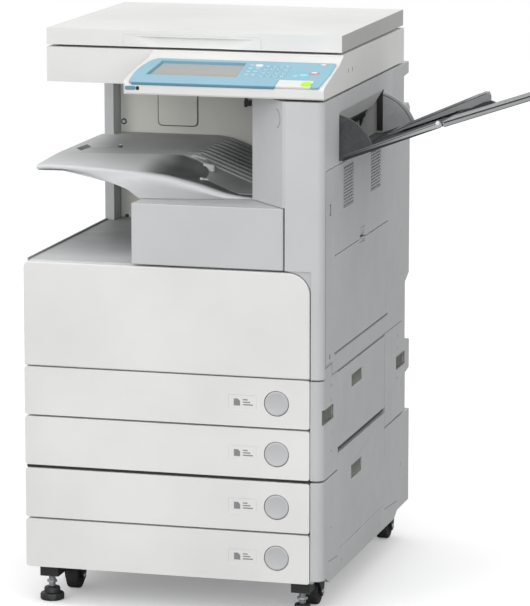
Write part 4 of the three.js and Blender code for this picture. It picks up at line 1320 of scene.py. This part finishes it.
def door_grips():
    """Ribbed finger grips of the two paper doors, and black blocks as painted shade in the gaps above them.
    """
    for name, low, high in (("paper_door_upper", 396, 417), ("paper_door_lower", 221, 245)):
        section = [(OUTER - 9, low), (OUTER - 1.6, low), (OUTER - 3.4, high), (OUTER - 9, high)]
        grip = Form().prism("y", section, (-123.4, -40.6))
        for y in evenly(-118, -46, 9):
            grip.box(inset(3.6, 1.2), around(y, 1), (low + 1, high - 1))
        piece(f"{name}_grip", grip, name, TRAY, edge=0.4)
    # Black blocks in the door gaps: painted shade.
    gap_shades = Form()
    for y, low, high in (((-218, 140), 296.4, 302.6), ((-224, 144), 102.6, 109.6)):
        gap_shades.box(inset(9, 3), y, (low, high))
    piece("paper_door_gap_painted_shade", gap_shades, MACHINE, BLACK, edge=0.2)


def carry_grips():
    """Ribbed hand grips let into the lower covers, each with a rounded rim."""
    grips = Form()
    for y, z in (((-333, -264), (367, 392)), ((239, 308), (358, 382))):
        grips.box(inset(6, 4.4), y, z)
        for at in evenly(y[0] + 6, y[1] - 6, 6):
            grips.box(inset(5, 2.6), around(at, 1.6), z)
        rim = [(OUTER - 0.6, *corner) for corner in rectangle(y, z)]
        grips.tube([*rim, rim[0]], 1.1, 8)
    piece("carry_grips", grips, MACHINE, TRAY, edge=0)


def bypass():
    """The bypass tray's finger scoop, and the feed rollers and paper guides behind it."""
    low, top = limits("bypass_tray")[2]
    section = [(OUTER - 7.8, top + 3), (OUTER - 7, top + 3), (OUTER - 0.8, top + 21),
               (OUTER - 7.8, top + 21.5)]
    pull = Form().prism("y", section, (-62.4, -21.6))
    # A black block fills the notch under the scoop as its painted shade.
    pull.painted(1).box(inset(7.9, 5), (-62.6, -21.4), (top + 0.6, top + 3.4))
    piece("bypass_finger_scoop", pull, "right_door", SIDE, BLACK, edge=0.3)
    feed = Form().box(inset(14, 9.8), (-200, 110), (low + 20, low + 60)).painted(1)
    for y in (-80, -10):
        feed.rod("y", around(y, 16), (OUTER - 13, low + 40), 3, 20)
    piece("bypass_feed_recess", feed, "right_door", DARK, RUBBER, edge=0.4)
    guides = Form()
    for y in (-150, 62):
        guides.box(inset(11.4, 9.5), (y, y + 4), (low + 30, low + 150))
    piece("bypass_side_guides", guides, "bypass_tray", BLACK, edge=0.4)


def right_side():
    vents()
    corner_strip()
    head = [(3.4, OUTER - 1), (3.4, OUTER + 0.25), (2.2, OUTER + 0.5)]
    marks = screws(Form(), "x", SIDE_SCREWS, head, [(1.9, 0.45)], (OUTER + 0.2, OUTER + 0.7))
    piece("side_cover_screws", marks, MACHINE, STEEL, edge=0)
    door_grips()
    carry_grips()
    bypass()


SEAM_SHADE_LINES = [((-325, -322.4), (470, 826)), ((-326, -271), (467.6, 470)), ((-275.6, -273), (444, 468)),
           ((-271, 280), (446.2, 448.4)), ((-254, 163), (480.6, 483))]


UNIT_GAP = (257.2, 263.3)  # between the printing unit and the pedestal


def side_seams():
    """Lines of painted shade where the right side's covers meet, and the filler beside the front door."""
    # Proud mid-grey strips stand in for the shade inside the cover seams.
    lines = Form()
    proud = inset(1.2, -0.15)
    for y, z in SEAM_SHADE_LINES:
        lines.box(proud, y, z)
    for start, end in (((-298, 106), (-228, 100)), ((144, 102), (251, 94))):
        spine = [start, end, (end[0], end[1] - 1.6), (start[0], start[1] - 1.6)]
        lines.prism("x", spine, proud)
    piece("side_seam_painted_shade", lines, MACHINE, GROOVE, edge=0)
    gap = Form().box((-281, 258), (-334, -326), UNIT_GAP)
    piece("unit_gap_shadow", gap, MACHINE, BLACK, edge=0.3)
    (_, door_right), _, (_, door_top) = limits("front_door")
    radius = 40
    centre = (door_right - radius, door_top - radius)
    fill = [*arc(centre, radius + 1.5, 0, 90, 10), (centre[0], 646), (262, 646), (262, centre[1])]
    piece("door_corner_filler", Form().prism("y", fill, (-337, -320)), MACHINE, SIDE, edge=0.4)


# ---- side exit and its tray
EXIT_Y = (-226, 122)
EXIT_TOP = 921
HOOD_LIP = 888
TRAY_Y = limits("side_tray")[1]
FOLD = (limits("side_tray_extension")[0][0] - 0.5, 910.0)
TRAY_ROOT = (284.0, 839.0)
FIN = [(268, 836), (268, 914), (284, 914.5), (301, 908), (317, 898.5), (332, 882.5), (344, 860), (340, 856)]


def exit_hood():
    """The white hood over the slot and the black comb of paper guides that hangs behind its lip."""
    y0, y1 = EXIT_Y
    top = EXIT_TOP + 0.5
    section = [(OUTER - 1, top - 2), (OUTER - 1, top), (OUTER - 22, top), (OUTER - 22, HOOD_LIP + 2),
               (OUTER - 20.8, HOOD_LIP), (OUTER - 19, HOOD_LIP + 1)]
    piece("exit_hood", Form().prism("y", section, (y0 + 1, y1 - 7)), MACHINE, WHITE, edge=0.5)
    comb = Form().box(inset(32, 22.4), (y0 + 3, y1 - 40), (HOOD_LIP - 5, HOOD_LIP + 8))
    for k, y in enumerate(evenly(y0 + 14, y1 - 50, 15)):
        drop = 26 if k % 4 == 1 else 12
        tooth = [(OUTER - 31, HOOD_LIP + 2), (OUTER - 22.6, HOOD_LIP + 2),
                 (OUTER - 24, HOOD_LIP - 6 - drop * 0.5), (OUTER - 29, HOOD_LIP - 7 - drop)]
        comb.prism("y", tooth, around(y, 3.2))
    piece("exit_comb", comb, MACHINE, BLACK, edge=0.4)


def side_exit():
    exit_hood()
    y0, y1 = EXIT_Y
    inner = shrink(EXIT_Y, 1)
    unit = Form().box((200, 206), inner, (828, 925)).box((200, OUTER - 14), inner, (826, 830))
    unit.box((200, OUTER - 23), inner, (922, 928))
    for y in (y0 - 3, y1 - 0.6):
        unit.box((200, OUTER - 13.4), (y, y + 3.6), (826, 928))
    for y in evenly(y0 + 20, y1 - 20, 9):
        unit.prism("y", [(205, 829), (252, 829), (226, 850), (205, 880)], around(y, 1.5))
    piece("exit_unit_housing", unit, MACHINE, INTERIOR, edge=0.5)
    slot = Form().box(inset(12.6, 0.6), (y1 - 6, y1 - 0.2), (842, EXIT_TOP - 0.5))
    piece("exit_slot_liner", slot, MACHINE, BLACK, edge=0.5)


def slope_frame(start, end):
    """A frame whose X runs from start to end in the X-Z plane and whose Z is square to it."""
    lean = math.atan2(end[1] - start[1], end[0] - start[0])
    place = Matrix.Translation((start[0], 0, start[1])) @ Matrix.Rotation(-lean, 4, "Y")
    return place, math.dist(start, end)


def rim_tone(point):
    """The tray's rims catch more light towards their outer end."""
    return 0.95 - 0.55 * smooth(point.x, 300, 455)


def exit_tray(local, length):
    """The side tray: a ribbed floor with a tapered flange along each side."""
    y0, y1 = TRAY_Y
    tray = Form(local).box((-2, length), (y0 + 3, y1 - 3), (-7.6, -1.6))
    flap_y = shrink(limits("side_tray_flap")[1], -8)
    for y in evenly(y0 + 18, y1 - 18, 13):
        end = 62 if flap_y[0] < y < flap_y[1] else length - 8
        tray.prism("y", [(8, -1.8), (end, -1.8), (end - 4, 0.6), (14, 0.6)], around(y, 1.5))
    tray.box((length - 5, length), (y0 + 0.4, y1 - 0.4), (-8.6, -0.4)).painted(1)
    flange = [(6, -3.6), (length - 3, -8.2), (length - 5, -9.4), (0, -8.8)]
    for y, side in ((y0, 1), (y1, -1)):
        tray.box((0, length - 1), sorted((y + side * 0.4, y + side * 6.4)), (-1.9, -0.3))
        tray.prism("y", flange, sorted((y, y + side * 6)))
    piece("exit_tray", tray, MACHINE, DARK, BLACK, edge=0.5, stands_for=["side_tray"])


def exit_tray_rims(local, length):
    """A light rim along each side, in steps so that painted light can change along it."""
    rims = Form(local)
    steps = 6
    for y, side in ((TRAY_Y[0] - 0.2, 1), (TRAY_Y[1] + 0.2, -1)):
        for k in range(steps):
            near, far = length * k / steps, length * (k + 1) / steps
            low_near, low_far = -2.6 - 5 * k / steps, -2.6 - 5 * (k + 1) / steps
            section = [(near, low_near), (far, low_far), (far, -1.4), (near, -1.4)]
            rims.prism("y", section, sorted((y, y + side * 7)))
        rims.box((0, length - 2), sorted((y + side * 0.4, y + side * 7.4)), (-0.3, 1.0))
    piece("exit_tray_rims", rims, MACHINE, TRAY_PAINTED_SHADE, edge=0, painted_shade=rim_tone)


def exit_fins():
    """The smoked fins at the two ends of the slot, each with a rounded rim. The far fin takes a lighter
    copy of the smoked sheet and a light grey rim as painted light.
    """
    curve = soften(FIN[1:-1], 9, 4)[5:-2]
    for name, y, finish, rim_finish in (("near", TRAY_Y[0] + 0.6, SMOKE, DARK),
                                        ("far", TRAY_Y[1] - 3.0, SMOKE_PAINTED_LIT, BUTTON)):
        fin = Form().prism("y", soften(FIN, 7, 3), (y, y + 2.4))
        piece(f"exit_fin_{name}", fin, MACHINE, finish, edge=0.5)
        rim = Form().tube([(a, y + 1.2, b) for a, b in curve], 1.5, 10)
        if name == "far":
            rim.painted(1).tube([(a - 4.2, y + 0.4, b - 3.4) for a, b in curve], 0.9, 8)
        piece(f"exit_fin_rim_{name}", rim, MACHINE, rim_finish, SMOKE, edge=0)


def side_tray():
    local, length = slope_frame(TRAY_ROOT, (FOLD[0] - 1, FOLD[1] - 1))
    exit_tray(local, length)
    exit_tray_rims(local, length)
    root = Form().box((OUTER - 15, 286), shrink(TRAY_Y, 1), (831.8, 838.5))
    piece("exit_tray_root", root, MACHINE, DARK, edge=0.8)
    exit_fins()
    pins = Form()
    for y, side in ((TRAY_Y[0] - 0.8, 1), (TRAY_Y[1] + 0.8, -1)):
        pin = [(3.6, y + side * 6), (3.6, y + side * 0.6), (2.6, y)]
        pins.lathe("y", pin, (FOLD[0] - 7, FOLD[1] - 3.4), 24)
    piece("exit_tray_pins", pins, MACHINE, KEY_WHITE, edge=0.2)


def tray_extension():
    """A ribbed bar with rolled edges, dark lines along its sides, and a black upstand under the flap as its
    painted shadow.
    """
    x, (y0, y1), z = limits("side_tray_extension")
    local, length = slope_frame((x[0], FOLD[1] - 1), (x[1], z[1]))
    near = [(y0 + 1.5, -10.2), (y0, -8.8), (y0, -2.4), (y0 + 0.9, -1.3), (y0 + 3.4, -1.3), (y0 + 4.2, -0.2)]
    far = [(y0 + y1 - y, z) for y, z in reversed(near)]
    bar = Form(local).prism("x", near + far, (1, length - 1))
    rib = [(92, -0.4), (length - 14, -0.4), (length - 20, 0.4), (98, 0.4)]
    for y in evenly(y0 + 22, y1 - 22, 4):
        bar.prism("y", rib, around(y, 1.4))
    end = [(length - 6, -9.8), (length, -8.6), (length, -0.6), (length - 6, 0.3)]
    bar.prism("y", soften(end, 2), (y0 + 0.4, y1 - 0.4)).painted(1)
    for y in (y0 + 2.15, y1 - 2.15):
        bar.box((3, length - 7), around(y, 1.25), (-1.6, -1.0))
    bar.box((3, length - 7), (y0 - 0.2, y0 + 1), (-3.6, -1.4))
    bar.box((4, length - 8), (y0 - 0.15, y0 + 1), (-9.9, -9.0))
    # Painted shadow: a black upstand fills the gap under the flap.
    bar.prism("y", [(12, -0.6), (84, -0.6), (77, 5.2), (62, 6.6), (30, 2.5)], (y1 - 9, y1 - 0.5))
    piece("tray_extension", bar, "side_tray_extension", EXTENSION, BLACK, edge=0.5,
          stands_for=["side_tray_extension"])


def tray_flap():
    """A dished wedge with a slanted end, dark rims and ribs."""
    (x0, x1), (y0, y1), (z0, z1) = limits("side_tray_flap")
    elbow = (x0 + 126, z0 + 47)
    tip = [(x1 - 0.4, z1 - 21), *arc((x1 - 8, z1 - 7.6), 6.6, -6, 96, 5), (x1 - 12, z1 - 1.4)]
    body = Form().prism("y", [(x0 + 0.4, z0 + 0.5), elbow, *tip, (x0, z0 + 3)], (y0, y1))
    local, length = slope_frame((x0, z0 + 3), (x1 - 11, z1 - 1.2))
    slant = [(x1 + 2, y0 - 2), (x1 + 2, y1 + 2), (x1 - 38, y1 + 2), (x1 - 3, y0 + 1), (x1 + 0.5, y0 - 2)]
    section = [(y0 + 5, 2), (y0 + 7, -1), (y1 - 7, -1), (y1 - 5, 2)]
    dish = Form(local).prism("x", section, (18, length - 48))
    body.cut(dish, Form().prism("z", slant, (z0, z1 + 4)))
    top = Form(local).painted(1).box((1, length - 1), (y0 - 0.2, y0 + 5), (-0.7, 0.45))
    top.box((1, length - 40), (y1 - 5, y1 + 0.2), (-0.7, 0.45))
    top.box((16, length - 46), (y0 + 6.6, y1 - 6.6), (-1.4, -0.7))
    rib = [(20, -1), (length * 0.76, -1), (length * 0.74, 0), (28, 0)]
    for y in evenly(y0 + 22, y1 - 22, 4):
        top.prism("y", rib, around(y, 1.3))
    lower, reach = slope_frame(elbow, (x1 - 1, z1 - 21))
    edge = Form(lower).painted(1).box((0, reach), (y0 - 0.25, y0 + 2), (0.2, 1.3))
    piece("tray_flap", body.combine("UNION", top, edge), "side_tray_flap", GROOVE, BLACK, edge=0.3,
          stands_for=["side_tray_flap"])


# ---- casters and feet
def caster_fork(corner, wheel_y, radius):
    """A swivel socket, two cheeks with a bridge between them, and the axle's ends."""
    fork_x, _, (_, top) = limits(f"caster_fork_{corner}")
    cx, cy = middle(fork_x), middle(wheel_y)
    pivot_y = cy - 16
    socket = [(17, top), (17, top - 4), (19, top - 5), (19, top - 9)]
    fork = Form().lathe("z", socket, (cx, pivot_y), 36)
    cheek = arc((cy, radius), 9, 215, 325, 6) + [(cy + 15, 42), (cy + 16, 55), (cy + 8, 60)]
    cheek += [(pivot_y - 12, 60), (pivot_y - 13, 50), (cy - 14, 36)]
    for x in ((cx - 18.4, cx - 14.2), (cx + 14.2, cx + 18.4)):
        fork.prism("x", soften(cheek, 3, 2), x)
    fork.box(around(cx, 18), (pivot_y - 11, cy + 14), (53.5, 59.5)).painted(1)
    for side in (-1, 1):
        axle = [(5, cx + side * 17), (5, cx + side * 19.2), (3.4, cx + side * 20.2)]
        fork.lathe("x", axle, (cy, radius), 20)
    piece(f"caster_hood_{corner}", fork, f"caster_{corner}", BLACK, STEEL, edge=0.9,
          stands_for=[f"caster_fork_{corner}"])
    return cx, cy


def caster(corner):
    wheel_x, wheel_y, wheel_z = limits(f"caster_wheel_{corner}")
    radius = (wheel_z[1] - wheel_z[0]) / 2
    cx, cy = caster_fork(corner, wheel_y, radius)
    half = (wheel_x[1] - wheel_x[0]) / 2
    rim = [(5, half - 3), (12, half - 3), (14, half - 0.6), (21, half - 0.4), (24, half - 2),
           (radius, half - 5)]
    profile = [(r, cx - a) for r, a in rim] + [(r, cx + a) for r, a in reversed(rim)]
    wheel = Form().lathe("x", profile, (cy, radius), 56, closed=True)
    piece(f"caster_roller_{corner}", wheel, f"wheel_{corner}", NYLON, edge=0, sharp=40,
          stands_for=[f"caster_wheel_{corner}"])


KNOB_LEVELS = [(19, 0.2, 0), (22, 1.5, 0.2), (22.4, 3.6, 1), (22.4, 10.4, 1), (21, 13, 0.5),
               (15.4, 15, 0), (14.8, 22, 0.3), (13.8, 24, 0), (9, 25.4, 0)]  # radius, height, lobe


def foot_knob(cx, cy, low):
    """A black knob with ten shallow lobes."""
    rings = []
    sides = 48
    for r, height, lobe in KNOB_LEVELS:
        ring = []
        for k in range(sides):
            turn = 2 * math.pi * k / sides
            reach = r - 1.3 * lobe * (0.5 + 0.5 * math.cos(10 * turn))
            ring.append((cx + reach * math.cos(turn), cy + reach * math.sin(turn), low + height))
        rings.append(ring)
    return Form().loft(rings)


def levelling_foot(side):
    """A knob on a threaded steel bolt with a lock nut, and the bracket that it screws into."""
    x, y, (low, top) = limits(f"levelling_foot_{side}")
    cx, cy = middle(x), middle(y)
    foot = foot_knob(cx, cy, low).painted(1)
    pitch = 1.5
    thread = [(5.4, low + 24)]
    height = low + 26
    while height < top - pitch:
        thread += [(5.4, height), (6.5, height + pitch / 2)]
        height += pitch
    foot.lathe("z", [*thread, (5.0, top)], (cx, cy), 28)
    foot.lathe("z", [(10, 33), (10, 37), (6, 37.1), (6, 32.9)], (cx, cy), 6, closed=True)
    piece(f"foot_knob_{side}", foot, f"levelling_foot_{side}", BLACK, STEEL, edge=0, sharp=38,
          stands_for=[f"levelling_foot_{side}"])
    bracket = Form()
    height = (47.5, 66)
    for wall in ((cx - 17.6, cx - 16.8), (cx + 16.8, cx + 17.6)):
        bracket.box(wall, (cy - 17, cy + 19), height)
    bracket.box(around(cx, 17.6), (cy - 17.4, cy - 16.2), height)
    piece(f"foot_bracket_{side}", bracket, MACHINE, BLACK, edge=0.4)


def running_gear():
    for corner in ("fl", "fr", "rl", "rr"):
        caster(corner)
    for side in ("left", "right"):
        levelling_foot(side)


# ---- rear, left and underside
REAR = 344  # the rear cover's outer face
REAR_HEADS = {"cover": 343.2, "pedestal": 351.2, "lower cover": 314.4, "reader": 286.4}


def rear_screws(form, spots, outer):
    """Cross-headed screws on a face square to Y."""
    head = [(4, outer - 1), (4, outer + 1), (2.8, outer + 1.8)]
    return screws(form, "y", spots, head, [(2.6, 0.5), (0.5, 2.6)], (outer + 1.5, outer + 2.0))


def grid(across, heights):
    return [(a, z) for a in across for z in heights]


def rear_covers():
    """Two vents, the service plate, the cover screws, and dark strips as painted shade along the pedestal's
    seams.
    """
    spans, heights = ((-230, -120), (90, 220)), (590, 700)
    grilles = Form()
    for x in spans:
        louvres(grilles, "y", x, heights, REAR + 1.6, 2.4, bar=3.4, pitch=8, web=37)
    piece("rear_vents", grilles, MACHINE, SIDE, edge=0.3)
    shadows = Form()
    for x in spans:
        shadows.box(x, (REAR - 0.5, REAR + 0.25), heights)
    piece("rear_vent_shadows", shadows, MACHINE, BLACK, edge=0)
    plate = Form().slab("y", (-60, 60), (560, 840), 6, (REAR - 0.5, REAR + 1.5)).painted(1)
    rear_screws(plate, grid((-52, 52), (570, 700, 830)), REAR + 1)
    piece("rear_service_plate", plate, MACHINE, SIDE, STEEL, edge=0.8)
    heads = rear_screws(Form(), grid((-268, 246), (370, 610, 760, 850)), REAR_HEADS["cover"])
    rear_screws(heads, grid((-268, 0, 250), (80, 170, 246)), REAR_HEADS["pedestal"])
    rear_screws(heads, grid((-268, 0, 246), (290, 325)), REAR_HEADS["lower cover"])
    rear_screws(heads, grid((-240, 0, 240), (970, 1008)), REAR_HEADS["reader"])
    piece("rear_screws", heads, MACHINE, STEEL, edge=0)
    # Dark strips on the pedestal's seams: painted shade.
    seams = Form()
    for x in (-90, 90):
        seams.box(around(x, 0.6), (351.6, 352.3), (70, 255))
    piece("pedestal_rear_seams", seams, MACHINE, DARK, edge=0)


def rear_sockets():
    """A plain interface panel with two columns of sockets, and the power inlet with its plug and lead."""
    ports = Form().slab("y", (-236, -150), (420, 506), 3, (310, 312.5)).painted(1)
    for k, (width, height) in enumerate(((26, 12), (18, 14), (14, 7), (14, 7))):
        z = (430 + k * 18, 430 + k * 18 + height)
        ports.box((-224, -224 + width), (311, 314), z).box((-190, -190 + height), (311, 314), z)
    piece("interface_panel", ports, MACHINE, FRAME_METAL, BLACK, edge=0.4)
    inlet = Form().slab("y", (176, 216), (282, 318), 5, (313, 319))
    inlet.painted(1).slab("y", (184, 208), (290, 310), 3, (318, 338))
    inlet.tube([(196, 334, 300), (196, 340, 292), (195, 342, 278), (190, 338, 270)], 4, 12)
    piece("power_inlet", inlet, MACHINE, BLACK, RUBBER, edge=0.8)


def left_side():
    face = limits("left_cover")[0][0]
    # The walls of the grip recesses, the slots and the seam are painted dark as the shade in them.
    cuts = []
    for y in ((-300, -215), (180, 262)):
        cuts.append(Form().painted(1).slab("x", y, (372, 398), 5, (face - 1, face + 10)))
    slots = Form().painted(1)
    for k in range(12):
        outline = soften(rectangle((40, 150), (520 + k * 7, 523 + k * 7)), 1.4, 2)
        slots.prism("x", outline, (face - 1, face + 6))
    seam = Form().painted(1).box((face - 1, face + 1), (-316, 279), (449, 450.2))
    cover = copied("left_cover").cut(*cuts, slots, seam)
    piece("left_side_cover", cover, MACHINE, LIGHT, DARK, edge=1.2, stands_for=["left_cover"])
    spots = grid((-300, 262), (280, 436, 620)) + grid((-296, 330), (84, 244)) + [(268, 700), (268, 930)]
    head = [(4, face + 1), (4, face - 0.8), (2.8, face - 1.4)]
    heads = screws(Form(), "x", spots, head, [(2.4, 0.5)], (face - 1.7, face - 1.2))
    piece("left_screws", heads, MACHINE, STEEL, edge=0)


def base_rails():
    """Rails under the pedestal, which the casters are fixed to."""
    base = Form()
    for y in (-120, 60, 240):
        base.box((-230, 230), around(y, 12), (62.4, 66.5))
    for x in (-258, 236):
        base.box(around(x, 12), (-280, 330), (61.5, 66.4))
    piece("base_rails", base, MACHINE, FRAME_METAL, edge=0.6)


# ---- studio
# Places are in metres from ORIGIN.
FLOOR_HALF = 60
WORLD_STRENGTH = 0.8
LIGHT_AIM = (0, 0, 0.6)
LIGHTS = {  # place, size in metres, watts
    "key": ((-3.2, -5.2, 3.6), 3.2, 76),
    "front": ((1.2, -6.6, 1.6), 3.6, 96),
    "side": ((5.2, -3.4, 2.6), 2.6, 26),
    "top": ((0.4, -0.6, 4.6), 3.0, 34),
}
CAMERA_PLACE = (1.912, -6.763, 1.799)
CAMERA_LENS = 223.8
CAMERA_DROP = 10.328  # degrees below level
CAMERA_TURN = 15.135  # degrees to the machine's right


def studio():
    form = bmesh.new()
    bmesh.ops.create_grid(form, x_segments=4, y_segments=4, size=FLOOR_HALF)
    mesh = bpy.data.meshes.new("floor")
    form.to_mesh(mesh)
    form.free()
    mesh.materials.append(floor_paint("floor_paint"))
    floor = bpy.data.objects.new("floor", mesh)
    bpy.context.scene.collection.objects.link(floor)

    world = bpy.data.worlds.new("studio")
    world.use_nodes = True
    background = world.node_tree.nodes["Background"]
    background.inputs["Color"].default_value = (1.0, 1.0, 1.0, 1)
    background.inputs["Strength"].default_value = WORLD_STRENGTH
    bpy.context.scene.world = world
    for name, (place, size, power) in LIGHTS.items():
        softbox(name, place, size, power)
    bpy.context.scene.view_settings.view_transform = "Standard"


def softbox(name, place, size, power):
    """A square light that faces the machine."""
    light = bpy.data.lights.new(name, "AREA")
    light.size = size
    light.energy = power
    made = bpy.data.objects.new(name, light)
    made.location = ORIGIN + Vector(place)
    aim = ORIGIN + Vector(LIGHT_AIM) - made.location
    made.rotation_euler = aim.to_track_quat("-Z", "Y").to_euler()
    bpy.context.scene.collection.objects.link(made)


def camera():
    data = bpy.data.cameras.new("camera")
    data.lens = CAMERA_LENS
    data.sensor_width = 36
    data.clip_end = 300
    made = bpy.data.objects.new("camera", data)
    made.location = ORIGIN + Vector(CAMERA_PLACE)
    made.rotation_euler = (math.pi / 2 - math.radians(CAMERA_DROP), 0, math.radians(CAMERA_TURN))
    bpy.context.scene.collection.objects.link(made)
    bpy.context.scene.camera = made


cad_nodes()
lid()
reader()
control_panel()
scanner_inside()
output_bay()
drawers()
engine_inside()
right_side()
side_seams()
side_exit()
side_tray()
tray_extension()
tray_flap()
running_gear()
rear_covers()
rear_sockets()
left_side()
base_rails()
studio()
camera()
